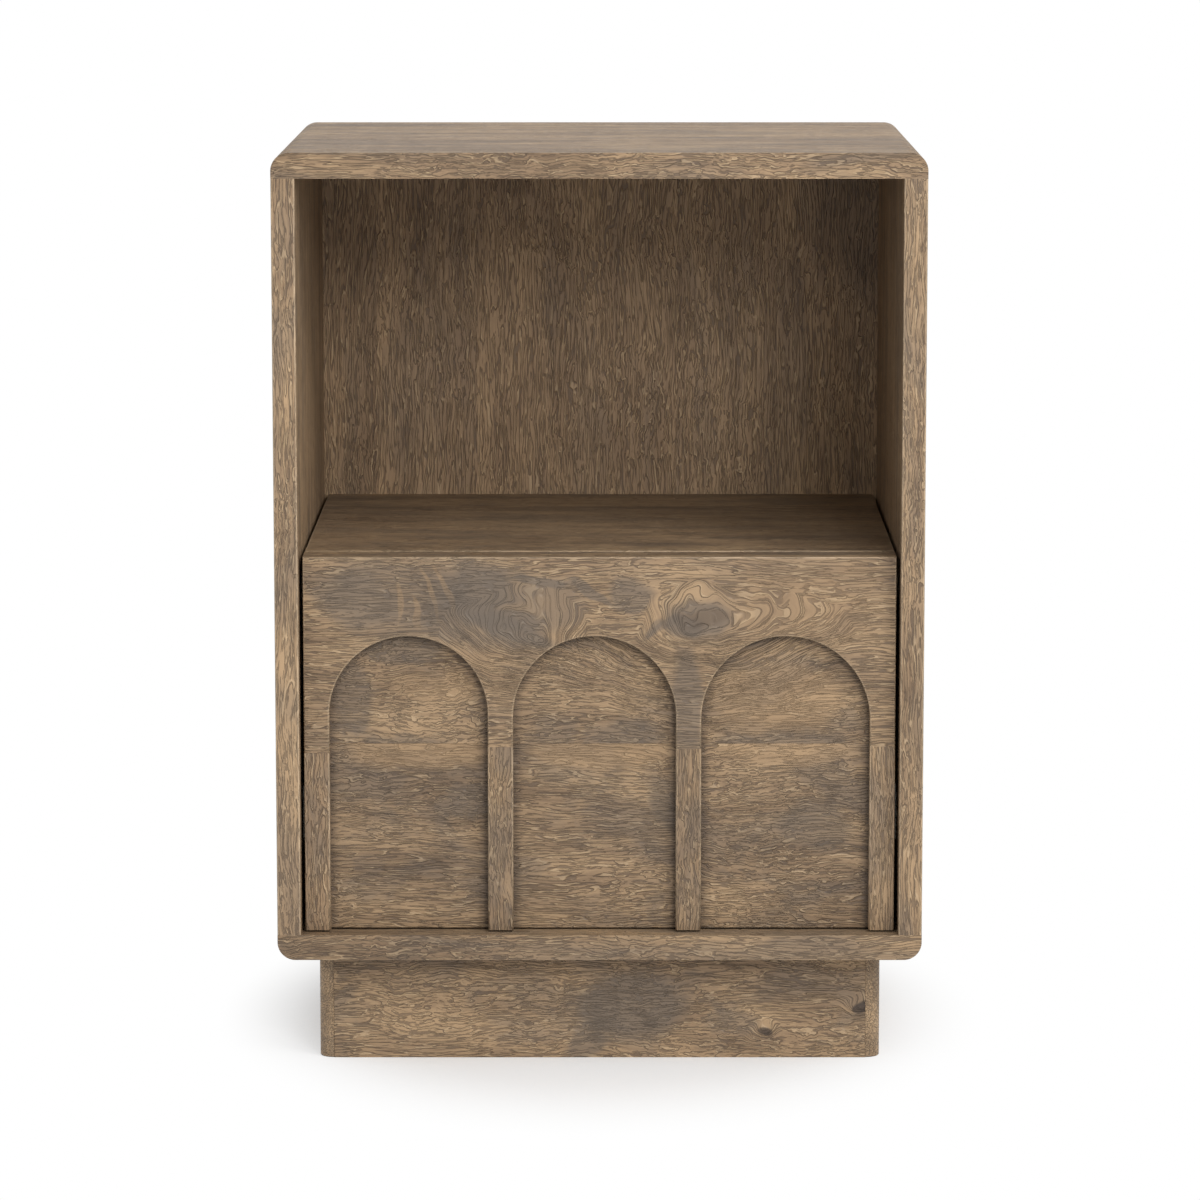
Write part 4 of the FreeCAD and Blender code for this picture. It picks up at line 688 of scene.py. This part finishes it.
def wood_screw(length, shank, head, head_height, raised):
    """A screw along +Z from the top of its head at zero. Shank and head are half widths. Its other
    sizes are shares of these, as on a common screw."""
    core = shank * 0.72
    tip = length - 2.6 * shank
    if raised:
        top = [(0, 0), (head * 0.55, 0), (head * 0.88, head_height * 0.25), (head, head_height * 0.65),
               (head, head_height), (core, head_height)]
    else:
        top = [(0, 0), (head * 0.94, 0), (head, head_height * 0.08), (core, head_height * 1.1)]
    bm = turned(top + [(core, tip), (0, length)], 20)
    bm.faces.layers.float.new("worn")
    for face in bm.faces:
        face.smooth = True

    # The cross recess is punched three quarters of the head's height deep and narrows downwards.
    bars = []
    for angle in (0, math.pi / 2):
        bar = bmesh.new()
        bmesh.ops.create_cube(bar, size=1)
        bmesh.ops.scale(bar, vec=(head * 1.05, head * 0.26, head_height * 1.5), verts=bar.verts)
        deep = [vert for vert in bar.verts if vert.co.z > 0]
        bmesh.ops.scale(bar, vec=(0.45, 0.7, 1), verts=deep)
        bmesh.ops.rotate(bar, cent=(0, 0, 0), matrix=Matrix.Rotation(angle, 3, "Z"), verts=bar.verts)
        bars.append(bar)
    bm = cut(bm, *bars)

    # The thread is a low ridge wound up to the tip, where it runs out.
    start = head_height + (length - head_height) * 0.3
    pitch = shank * 1.05
    turns = int((length - shank - start) / pitch)
    thread = bmesh.new()
    ridge = [thread.verts.new((radius, 0, start + pitch * share))
             for radius, share in ((core * 0.9, 0), (shank * 0.98, 0.22), (core * 0.9, 0.44))]
    face = thread.faces.new(ridge)
    bmesh.ops.spin(thread, geom=[face] + list(face.edges) + ridge, cent=(0, 0, 0), axis=(0, 0, 1),
                   dvec=(0, 0, pitch / 12), angle=math.tau * turns, steps=12 * turns)
    for vert in thread.verts:
        if vert.co.z > tip:
            share = max(0.12, (length - vert.co.z) / (length - tip))
            vert.co.x *= share
            vert.co.y *= share
    bmesh.ops.recalc_face_normals(thread, faces=thread.faces)
    join(bm, thread)
    return bm


# Half the shank's width, half the head's width, the head's height, and whether the head is raised.
WOOD_SCREW = (0.00175, 0.0035, 0.002, False)
screw_zinc = zinc_plated("zinc plated screw steel", 0.0004, 0.34)


def screws(name, node, body, kind, direction_of):
    """One piece of all screws in a CAD node. Each points where its own place and size say."""
    made = {}
    bm = bmesh.new()
    for low, high in solids_in(node):
        middle = (low + high) / 2
        direction = Vector(direction_of(middle, high - low))
        length = abs((high - low).dot(direction))
        key = round(length, 4)
        if key not in made:
            made[key] = wood_screw(length, *kind)
        set_down(bm, made[key].copy(), middle - direction * length / 2, direction)
    for template in made.values():
        template.free()
    finished(name, bm, screw_zinc, body, "screw_steel", node)


def forwards(middle, size):
    """To the front."""
    return (0, -1, 0)


screws("back_fixing_screws", "back_panel_screws", "case", WOOD_SCREW, forwards)


# Cleats: three sanded mango battens that carry the shelf, screwed to the side panels and held at the
# rear by the back panel's screws. They get one thin coat of lacquer and keep their straight grain.
SANDED = "B39A7C"
SANDED_DARK = "8D7459"
SANDED_PORE = "5F4C3A"


def sanded_mango(name, grain, across, shift):
    """Plain sanded mango: straight tan streaks 2 mm wide and fine dark pores, with a silky lacquer."""
    material, tree, shader = new_material("sanded mango, " + name.replace("_", " "))
    plank = board_place(tree, grain, across, shift)[1]
    place = add(tree, "VectorMath", "MULTIPLY", i0=plank, i1=(1 / 120, 1 / 50, 1 / 50))
    bend = add(tree, "TexNoise", Vector=place, Scale=1, Detail=2)
    bent = add(tree, "VectorMath", "MULTIPLY_ADD", i0=bend.outputs["Color"], i1=(0, 24, 24),
               i2=plank)
    place = add(tree, "VectorMath", "MULTIPLY", i0=bent, i1=(1 / 60, 1 / 2.6, 1 / 2.6))
    streak = add(tree, "TexNoise", Vector=place, Scale=1, Detail=4, Roughness=0.65)
    tone = add(tree, "MapRange", Value=streak, From_Min=0.3, From_Max=0.7)
    base = add(tree, "Mix", MIX_COLOURS, i0=tone, i6=colour(SANDED_DARK), i7=colour(SANDED))
    place = add(tree, "VectorMath", "MULTIPLY", i0=bent, i1=(1 / 7, 1 / 0.9, 1 / 0.9))
    pores = add(tree, "TexNoise", Vector=place, Scale=1, Detail=1)
    pore = add(tree, "MapRange", SMOOTH, Value=pores, From_Min=0.58, From_Max=0.72, To_Max=0.6)
    wood = add(tree, "Mix", MIX_COLOURS, i0=pore, i6=base, i7=colour(SANDED_PORE))
    sunk = add(tree, "Math", "MULTIPLY", i0=pore, i1=-1)
    relief = add(tree, "Bump", Height=sunk, Strength=0.5, Distance=0.0001)
    plug(tree, shader, Base_Color=wood, Normal=relief, Roughness=0.42)
    return material


def outwards(middle, size):
    """To the nearer side of the nightstand."""
    return (math.copysign(1, middle.x), 0, 0)


EASED = 0.0008
for node, name, grain, across in (("shelf_left_cleat", "left_batten", "y", "z"),
                                  ("shelf_right_cleat", "right_batten", "y", "z"),
                                  ("shelf_rear_cleat", "rear_batten", "x", "z")):
    low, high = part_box(node)
    bm = blank(low, high)
    round_over(bm, lambda a, b: both(a, b, Z, low.z), EASED, 2)
    bm = cut(bm, "cleat_screws", "shelf_screws", "back_panel_screws")

    # The grain is shifted by the batten's place, so that no two look the same.
    wood = sanded_mango(name, grain, across, (low.x * 2000, 15, 0))
    finished(name, bm, wood, "case", "drawer_wood", node)
screws("batten_screws", "cleat_screws", "case", WOOD_SCREW, outwards)


# Shelf: the floor of the cubby, an 18 mm board that rests on the three cleats. Its top arrises are
# soft, and a shadow gap stays open at both ends. Screws come up into it through the cleats.
low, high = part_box("shelf_panel")
bm = blank(low, high)
round_over(bm, lambda a, b: both(a, b, Z, high.z) and not both(a, b, Y, high.y), ARRIS, 3, 0.9)
bm = cut(bm, "shelf_screws")
wood = washed_mango("shelf", "x", "y", (600, 70, 20), stave=90, figure=1.3, lightness=0.86)
finished("shelf_board", bm, wood, "case", "washed_mango", "shelf_panel")


def upwards(middle, size):
    """To the top."""
    return (0, 0, 1)


screws("shelf_fixing_screws", "shelf_screws", "case", WOOD_SCREW, upwards)


# Plinth: a set-back frame of four 18 mm boards. The side boards are rebated at both ends for the
# front and rear boards, and their outer corners are rounded. The front board has two small knots.
SMOKE = "665A4E"
PLINTH_ROUND = 0.011
JOINT = 0.0003
LONG_EDGE = 0.1


def on_front(y, *marks):
    """Marks in the grain, each given by x, z and the rest, put on a front face."""
    return [((x, y, z), *rest) for x, z, *rest in marks]


for name in ("plinth_front", "plinth_back"):
    low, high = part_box(name + "_board")
    bm = blank(low, high)
    round_over(bm, lambda a, b: a.z != b.z and (both(a, b, Y, low.y) or both(a, b, Y, high.y)),
               JOINT, 1)
    round_over(bm, lambda a, b: both(a, b, Z, low.z) and abs(a.x - b.x) > LONG_EDGE, ARRIS, 3)
    bm = cut(bm, "plinth_screws")
    knots = {}
    if name == "plinth_front":
        knots = {"eyes": on_front(low.y, (0.2095, 0.0425, 24, 15, 12, 0.9),
                                  (0.1305, 0.018, 16, 14, 10, 0.6)),
                 "patches": on_front(low.y, (0.024, 0.042, 50, 34, 0, 0.7, SMOKE),
                                     (-0.01, 0.012, 22, 14, 40, 0.6, SMOKE),
                                     (0.105, 0.03, 26, 14, 0, 0.4, SMOKE),
                                     (0.2095, 0.0425, 9, 6, 20, 0.85, PORE_AND_SHADE),
                                     (0.2085, 0.042, 4, 3, 20, 0.8, BROWN),
                                     (0.1305, 0.018, 8, 5, -30, 0.8, PORE_AND_SHADE))}
    wood = washed_mango(name, "x", "z", (300, 10, 0), **knots)
    finished(name, bm, wood, "case", "washed_mango", name + "_board")

front_low, front_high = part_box("plinth_front_board")
for side, end in (("left", -1), ("right", 1)):
    node = "plinth_" + side + "_board"
    low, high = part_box(node)
    outer = low.x if end < 0 else high.x
    rebates = []
    for edge in (-1, 1):
        start, stop = sorted((edge * (high.y + OVERCUT), edge * -front_high.y))
        rebates.append(blank((front_low.x if end < 0 else 0, start, -OVERCUT),
                             (0 if end < 0 else front_high.x, stop, high.z + OVERCUT)))
    bm = cut(blank(low, high), *rebates)
    round_over(bm, lambda a, b: a.z != b.z and both(a, b, X, outer), PLINTH_ROUND, 10, 0.15)
    curve_start = abs(outer) - PLINTH_ROUND - 0.0001
    round_over(bm, lambda a, b: both(a, b, Z, low.z) and (
        min(abs(a.x), abs(b.x)) > curve_start or both(a, b, Y, low.y) or both(a, b, Y, high.y)),
               ARRIS, 3)
    bm = cut(bm, "plinth_screws")
    wood = washed_mango("plinth " + side, "y", "z", (300 + 200 * end, 10, 0))
    finished("plinth_" + side, bm, wood, "case", "washed_mango", node)


# Glue blocks: four sanded mango blocks in the corners of the plinth, with an eased inner corner. They
# stiffen the corners and carry the screws that pull the plinth up to the bottom panel.
BLOCK_CHAMFER = 0.003
bm = bmesh.new()
bm.faces.layers.float.new("worn")
for low, high in solids_in("plinth_corner_blocks"):
    block = blank(low, high)
    inner_x = min((low.x, high.x), key=abs)
    inner_y = min((low.y, high.y), key=abs)
    round_over(block, lambda a, b: both(a, b, X, inner_x) and both(a, b, Y, inner_y), BLOCK_CHAMFER, 1)
    round_over(block, lambda a, b: both(a, b, Z, low.z), EASED, 1)
    join(bm, block)
bm = cut(bm, "plinth_screws")
finished("corner_glue_blocks", bm, sanded_mango("glue blocks", "z", "x", (0, 40, 0)),
         "case", "drawer_wood", "plinth_corner_blocks")


def plinth_way(middle, size):
    """Up for the long screws, and out through the nearer plinth board for the short ones."""
    if size.z > size.x and size.z > size.y:
        return (0, 0, 1)
    if size.x > size.y:
        return (math.copysign(1, middle.x), 0, 0)
    return (0, math.copysign(1, middle.y), 0)


screws("plinth_fixing_screws", "plinth_screws", "case", WOOD_SCREW, plinth_way)


# Drawer slides: three steel channels a side, rolled from 1.2 mm zinc plated strip with round bends,
# that run in each other on balls. Slots in the webs let the fitter shift them before the last screw.
SHEET = 0.0012
LIP = 0.0012
BEND = 0.0009
SLOT_CUTTER = 0.04
SLIDE_SCREW = (0.00175, 0.0032, 0.0016, False)
slide_zinc = zinc_plated("bright zinc plated strip", 0.0009, 0.28)
bare_steel = zinc_plated("sheared bare steel", 0.0003, 0.7, metallic=0.4)


def rolled_channel(node, web_outside, lip):
    """A channel in a node's box: a web, two flanges and, if it has them, turned-in lips."""
    low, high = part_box(node)
    outer, inner = sorted((low.x, high.x), key=abs, reverse=True)
    web, free = (outer, inner) if web_outside else (inner, outer)
    towards = math.copysign(1, free - web)
    half = SHEET / 2
    edge = free - towards * half if lip else free
    line = [(web + towards * half, low.z + half), (web + towards * half, high.z - half)]
    line = [(edge, low.z + half)] + line + [(edge, high.z - half)]
    if lip:
        line = [(edge, low.z + SHEET + lip)] + line + [(edge, high.z - SHEET - lip)]
    bm = bmesh.new()
    bm.faces.layers.float.new("worn")
    verts = [bm.verts.new((x, low.y, z)) for x, z in line]
    edges = [bm.edges.new(pair) for pair in zip(verts, verts[1:])]
    drawn = bmesh.ops.extrude_edge_only(bm, edges=edges)
    moved = [item for item in drawn["geom"] if isinstance(item, bmesh.types.BMVert)]
    bmesh.ops.translate(bm, vec=(0, high.y - low.y, 0), verts=moved)
    bends = [edge for edge in bm.edges if len(edge.link_faces) == 2]
    for face in bevelled(bm, bends, BEND, 5):
        face.smooth = True
    bmesh.ops.recalc_face_normals(bm, faces=bm.faces)
    bm = worked(bm, [("SOLIDIFY", {"thickness": SHEET, "offset": 0, "use_even_offset": True})])
    bmesh.ops.recalc_face_normals(bm, faces=bm.faces)
    for face in bm.faces:
        face.material_index = 1 if abs(face.normal.y) > 0.9 else 0
    return bm


def slots_in(node, shares, length, width):
    """Rounded slots along a channel's web, to be cut out of it."""
    low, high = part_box(node)
    middle = (low + high) / 2
    bm = bmesh.new()
    for share in shares:
        y = low.y + (high.y - low.y) * share
        slot = bmesh.new()
        bmesh.ops.create_cone(slot, cap_ends=True, segments=24, radius1=width / 2, radius2=width / 2,
                              depth=SLOT_CUTTER)
        bmesh.ops.rotate(slot, cent=(0, 0, 0), matrix=Matrix.Rotation(math.pi / 2, 3, "Y"),
                         verts=slot.verts)
        far = [vert for vert in slot.verts if vert.co.y > AT_VALUE]
        near = [vert for vert in slot.verts if vert.co.y < -AT_VALUE]
        bmesh.ops.translate(slot, vec=(0, (length - width) / 2, 0), verts=far)
        bmesh.ops.translate(slot, vec=(0, -(length - width) / 2, 0), verts=near)
        set_down(bm, slot, (middle.x, y, middle.z), (0, 0, 1))
    return bm


FOUR_SLOTS = (0.2, 0.35, 0.65, 0.8)
THREE_SLOTS = (0.08, 0.5, 0.92)
for side in ("left", "right"):
    for member, rail, body, web_outside, lip, screwed, shares, slot_length, slot_width in (
            ("case", "outer", "case", True, LIP, ["slide_case_screws"], FOUR_SLOTS, 0.011, 0.0046),
            ("middle", "middle", side + "_slide_middle", True, 0, [], THREE_SLOTS, 0.009, 0.0085),
            ("drawer", "inner", "drawer", False, 0, ["slide_drawer_screws"], FOUR_SLOTS, 0.009,
             0.0046)):
        node = side + "_slide_" + member + "_member"
        bm = rolled_channel(node, web_outside, lip)
        bm = cut(bm, *screwed, slots_in(node, shares, slot_length, slot_width))
        made = finished(side + "_" + rail + "_rail", bm, slide_zinc, body, "zinc_steel", node)
        made.data.materials.append(bare_steel)
screws("rail_case_screws", "slide_case_screws", "case", SLIDE_SCREW, outwards)
screws("rail_drawer_screws", "slide_drawer_screws", "drawer", SLIDE_SCREW,
       lambda middle, size: (-math.copysign(1, middle.x), 0, 0))


# Drawer box: four sanded mango boards, 12 mm thick, doweled at the corners, with rounded upper edges
# and a groove for the bottom panel. The pegs' ends show on the outside of the two sides.
EDGE_ROUND = 0.0025
GROOVE_ROOM = Vector((0.0005, 0.0005, 0))
low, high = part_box("drawer_bottom")
for node, name, grain in (("drawer_left_side", "box_left_side", "y"),
                          ("drawer_right_side", "box_right_side", "y"),
                          ("drawer_box_front", "box_front", "x"),
                          ("drawer_box_rear", "box_rear", "x")):
    board_low, board_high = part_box(node)
    bm = blank(board_low, board_high)
    long_axis = Y if grain == "y" else X
    round_over(bm, lambda a, b: both(a, b, Z, board_high.z) and a[long_axis] != b[long_axis],
               EDGE_ROUND, 4)
    groove = blank(low - GROOVE_ROOM, high + GROOVE_ROOM)
    bm = cut(bm, groove, "drawer_dowels", "slide_drawer_screws", "drawer_front_screws",
             "strike_screws")
    wood = sanded_mango(name, grain, "z", (board_low.x * 3000, 9, 0))
    finished(name, bm, wood, "drawer", "drawer_wood", node)

bm = blank(low, high)
round_over(bm, lambda a, b: both(a, b, Z, high.z), EASED, 1)
finished("box_bottom", bm, sanded_mango("box bottom", "x", "y", (150, 60, 3)),
         "drawer", "drawer_wood", "drawer_bottom")

bm = bmesh.new()
for low, high in solids_in("drawer_dowels"):
    middle = (low + high) / 2
    set_down(bm, dowel((high.z - low.z) / 2, high.x - low.x), (low.x, middle.y, middle.z), (1, 0, 0))
finished("beech_box_pegs", bm, beech, "drawer", "beech_dowel", "drawer_dowels")


# Drawer front: an upper and a lower board glued edge to edge. On them lies one wide board cut to
# three half-round arches, with a short leg at each side of every arch, and a stile stands under
# each leg. All of it is washed mango. The arches differ in width by a few millimetres.
FLAME = "A98A66"
ARCH_APEX_DROP = 0.063
ARCH_STEPS = 56
head_low, head_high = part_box("arch_head_board")
apex = head_high.z - ARCH_APEX_DROP
stiles = [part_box("arch_stile_%d" % number) for number in (1, 2, 3, 4)]

# An arch spans from one stile to the next. A shaded hollow has its centre, and its radius in
# millimetres; shade is painted into the wood along its edge.
arches = [(left[1].x, right[0].x) for left, right in zip(stiles, stiles[1:])]
shaded_hollows = [(((left + right) / 2, 0, apex - (right - left) / 2), (right - left) * 500)
           for left, right in arches]

for name, shift, lightness, eyes, patches in (
        ("upper", (50, 0, 0), 0.94, [(0.075, 0.335, 125, 75, 45, 0)], [
            (-0.155, 0.332, 40, 16, 0, 0.55, SMOKE), (-0.195, 0.29, 20, 34, 0, 0.5, SMOKE),
            (-0.15, 0.2555, 40, 9, 0, 0.5, SMOKE), (0.02, 0.262, 36, 12, 0, 0.5, SMOKE),
            (-0.13, 0.3, 34, 14, 0, 0.35, FLAME), (0.14, 0.29, 60, 30, 0, 0.4, FLAME),
            (0.15, 0.257, 60, 9, 0, 0.3, SMOKE)]),
        ("lower", (700, 90, 30), 0.91, [], [
            (-0.10, 0.21, 35, 14, 10, 0.45, SMOKE), (0.17, 0.19, 34, 24, 0, 0.5, SMOKE),
            (-0.14, 0.249, 66, 16, 0, 0.5, FLAME), (0.0, 0.249, 66, 16, 0, 0.5, FLAME),
            (0.15, 0.251, 66, 13, 0, 0.45, FLAME), (0.055, 0.205, 14, 30, 20, 0.5, SMOKE)])):
    node = "front_" + name + "_board"
    low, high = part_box(node)
    bm = blank(low, high)
    round_over(bm, lambda a, b: both(a, b, Y, low.y), JOINT, 1)
    bm = cut(bm, "drawer_front_screws")
    # The front boards get painted shade in the corner along the inside of each arch.
    wood = washed_mango(name + " front board", "x", "z", shift, lightness=lightness,
                        eyes=on_front(low.y, *eyes), patches=on_front(low.y, *patches),
                        shaded_hollows=shaded_hollows)
    finished(name + "_front_board", bm, wood, "drawer", "washed_mango", node)


def arch_board():
    """The head board, drawn from the foot of its left leg over the three half rounds and back."""
    bm = bmesh.new()
    bm.faces.layers.float.new("worn")
    first = bm.verts.new((stiles[0][0].x, head_low.y, stiles[0][1].z))
    last = first

    def line_to(x, z):
        """Draws on to another point of the outline."""
        nonlocal last
        new = bm.verts.new((x, head_low.y, z))
        bm.edges.new((last, new))
        last = new

    for number, (left, right) in enumerate(arches):
        spring = apex - (right - left) / 2
        line_to(left, stiles[number][1].z)
        line_to(left, spring)
        arc = bmesh.ops.spin(bm, geom=[last], cent=((left + right) / 2, head_low.y, spring),
                             axis=(0, 1, 0), angle=math.pi, steps=ARCH_STEPS)
        last = [item for item in arc["geom_last"] if isinstance(item, bmesh.types.BMVert)][0]
        line_to(right, stiles[number + 1][1].z)
    line_to(stiles[3][1].x, stiles[3][1].z)
    line_to(stiles[3][1].x, head_high.z)
    line_to(stiles[0][0].x, head_high.z)
    bm.edges.new((last, first))
    bmesh.ops.contextual_create(bm, geom=bm.edges[:])
    grown = bmesh.ops.extrude_face_region(bm, geom=bm.faces[:])
    moved = [item for item in grown["geom"] if isinstance(item, bmesh.types.BMVert)]
    bmesh.ops.translate(bm, vec=(0, head_high.y - head_low.y, 0), verts=moved)
    bmesh.ops.recalc_face_normals(bm, faces=bm.faces)
    return bm


bm = arch_board()
feet = max(stile[1].z for stile in stiles)
round_over(bm, lambda a, b: both(a, b, Y, head_low.y) and max(a.z, b.z) > feet, ARRIS, 3, 0.6)
head_wood = washed_mango(
    "arch board", "x", "z", (0, 0, 40), wave=0.65, lightness=0.98, grey=0.25,
    eyes=on_front(head_low.y, (0.072, 0.354, 50, 22, 0, 0.2)),
    ovals=on_front(head_low.y, (0.072, 0.349, 130, 42, 34, 58), (-0.048, 0.34, 40, 80, 44, 66)),
    patches=on_front(
        head_low.y, (0.165, 0.37, 75, 42, 0, 0.2, FLAME),
        (-0.163, 0.378, 62, 34, 0, 0.52, SMOKE), (-0.19, 0.37, 36, 24, 0, 0.4, SMOKE),
        (-0.095, 0.378, 33, 30, 0, 0.78, SMOKE), (-0.072, 0.349, 36, 10, -25, 0.62, SMOKE),
        (-0.157, 0.37, 3, 20, -6, 0.35, FLAME), (-0.145, 0.364, 2.5, 16, 4, 0.35, FLAME),
        (-0.131, 0.376, 2.5, 26, 12, 0.35, FLAME), (-0.119, 0.378, 2.5, 24, 18, 0.35, FLAME),
        (-0.055, 0.3685, 27, 5.5, 4, 0.5, FLAME), (-0.034, 0.371, 14, 11, 0, 0.45, FLAME),
        (-0.045, 0.384, 26, 4, -10, 0.7, SMOKE), (-0.005, 0.376, 24, 5, -24, 0.7, SMOKE),
        (0.026, 0.374, 17, 14, -30, 0.65, SMOKE), (0.078, 0.356, 31, 15, 0, 0.75, SMOKE),
        (0.05, 0.35, 18, 4, 30, 0.5, SMOKE), (0.068, 0.288, 17, 52, 0, 0.6, SMOKE),
        (0.08, 0.357, 25, 6, 5, 0.4, UMBER), (-0.067, 0.3565, 24, 9, 0, 0.55, SMOKE),
        (0.043, 0.349, 9, 5, 30, 0.6, SMOKE), (-0.062, 0.342, 30, 13, -15, 0.6, SMOKE),
        (-0.106, 0.356, 44, 26, 0, 0.5, SMOKE), (-0.042, 0.366, 38, 22, 0, 0.42, SMOKE),
        (-0.15, 0.35, 60, 14, 0, 0.25, SMOKE), (0.067, 0.351, 17, 9, 0, 0.6, SMOKE),
        (-0.076, 0.373, 62, 26, 0, 0.3, SMOKE)))
finished("arch_board", bm, head_wood, "drawer", "washed_mango", "arch_head_board")

for number, (low, high) in enumerate(stiles, start=1):
    bm = blank(low, high)
    round_over(bm, lambda a, b: both(a, b, Y, low.y) and a.z != b.z, ARRIS, 3, 0.6)
    wood = washed_mango("stile %d" % number, "z", "x", (170 * number, 33 * number, 7),
                        figure=0.75, lightness=(1.13, 0.96, 0.93, 1.03)[number - 1])
    finished("stile_%d" % number, bm, wood, "drawer", "washed_mango", "arch_stile_%d" % number)

PAN_SCREW = (0.00175, 0.004, 0.002, True)
screws("front_fixing_screws", "drawer_front_screws", "drawer", PAN_SCREW, forwards)


# Touch latch: a black nylon housing on a nylon base plate, with a sprung plunger that carries a
# nickel plated magnet. It is screwed to the back panel, and the magnet holds a steel strike plate.
NYLON = "1B1B1D"
NYLON_WORN = "2A2A2C"
NICKEL = "BDB9B0"
BALL_STEEL = "D3D3D2"


def moulded_nylon():
    """Black moulded nylon: nearly black, satin, with the fine grain of a spark-eroded mould."""
    material, tree, shader = new_material("moulded black nylon")
    surface = add(tree, "TexCoord").outputs["Object"]
    place = add(tree, "VectorMath", "SCALE", i0=surface, Scale=1 / 0.0004)
    grain = add(tree, "TexNoise", Vector=place, Scale=1, Detail=2)
    skin = add(tree, "Mix", MIX_COLOURS, i0=grain, i6=colour(NYLON), i7=colour(NYLON_WORN))
    relief = add(tree, "Bump", Height=grain, Strength=0.4, Distance=0.00005)
    plug(tree, shader, Base_Color=skin, Normal=relief, Roughness=0.48, IOR=1.53)
    return material


def polished(name, hex_code, roughness):
    """Polished metal with faint hairlines 0.2 mm apart."""
    material, tree, shader = new_material(name)
    surface = add(tree, "TexCoord").outputs["Object"]
    place = add(tree, "VectorMath", "MULTIPLY", i0=surface, i1=(500, 5000, 5000))
    hair = add(tree, "TexNoise", Vector=place, Scale=1, Detail=2)
    gloss = add(tree, "MapRange", Value=hair, To_Min=roughness * 0.7, To_Max=roughness * 1.3)
    plug(tree, shader, Base_Color=colour(hex_code), Roughness=gloss, Metallic=1)
    return material


SMALL_SCREW = (0.00125, 0.0026, 0.0012, False)
SMALL_PAN_SCREW = (0.00125, 0.0026, 0.0012, True)
screws("latch_fixing_screws", "latch_screws", "case", SMALL_PAN_SCREW,
       lambda middle, size: (0, 1, 0))
screws("strike_fixing_screws", "strike_screws", "drawer", SMALL_SCREW, forwards)


# Latch spring: a coil of 0.6 mm zinc plated spring wire with a closed turn at each end. It stands on
# the base plate inside the plunger and pushes it out.
WIRE_RADIUS = 0.0003
COIL_RADIUS = 0.002
OPEN_TURNS = 13
STEPS_A_TURN = 24


def coil_spring(length):
    """A coil along +Z from zero: a closed turn, the open turns and another closed turn. Closed turns
    rise by a little more than the wire's width."""
    bm = bmesh.new()
    bmesh.ops.create_circle(bm, cap_ends=True, segments=8, radius=WIRE_RADIUS)
    bmesh.ops.rotate(bm, cent=(0, 0, 0), matrix=Matrix.Rotation(math.pi / 2, 3, "X"), verts=bm.verts)
    bmesh.ops.translate(bm, vec=(COIL_RADIUS, 0, WIRE_RADIUS), verts=bm.verts)
    last = bm.verts[:] + bm.edges[:] + bm.faces[:]
    closed = 2.05 * WIRE_RADIUS
    open_rise = (length - 2 * WIRE_RADIUS - 2 * closed) / OPEN_TURNS
    for turns, rise in ((1, closed), (OPEN_TURNS, open_rise), (1, closed)):
        wound = bmesh.ops.spin(bm, geom=last, cent=(0, 0, 0), axis=(0, 0, 1), angle=math.tau * turns,
                               dvec=(0, 0, rise / STEPS_A_TURN), steps=STEPS_A_TURN * turns)
        last = wound["geom_last"]
    bmesh.ops.recalc_face_normals(bm, faces=bm.faces)
    for face in bm.faces:
        face.smooth = len(face.verts) == 4
    return bm


low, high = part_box("latch_spring")
middle = (low + high) / 2
bm = bmesh.new()
set_down(bm, coil_spring(high.y - low.y), (middle.x, low.y, middle.z), (0, 1, 0))
spring = finished("plunger_spring", bm, screw_zinc, "case", "screw_steel", "latch_spring")
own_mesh(spring)


# What is left of the frame keeps its CAD shape and gets the finish of its material slot: the latch's
# housing, base plate, plunger, magnet and strike plate, the ball retainers and the balls.
finishes = {"latch_plastic": moulded_nylon(), "magnet_nickel": polished("nickel plate", NICKEL, 0.16),
            "ball_steel": polished("polished bearing steel", BALL_STEEL, 0.12),
            "zinc_steel": slide_zinc, "screw_steel": screw_zinc}
for row in frame["record"]["subparts"]:
    node = frame["nodes"][row["node"]]
    if row["material_slot"] in finishes:
        node.data.materials.clear()
        node.data.materials.append(finishes[row["material_slot"]])
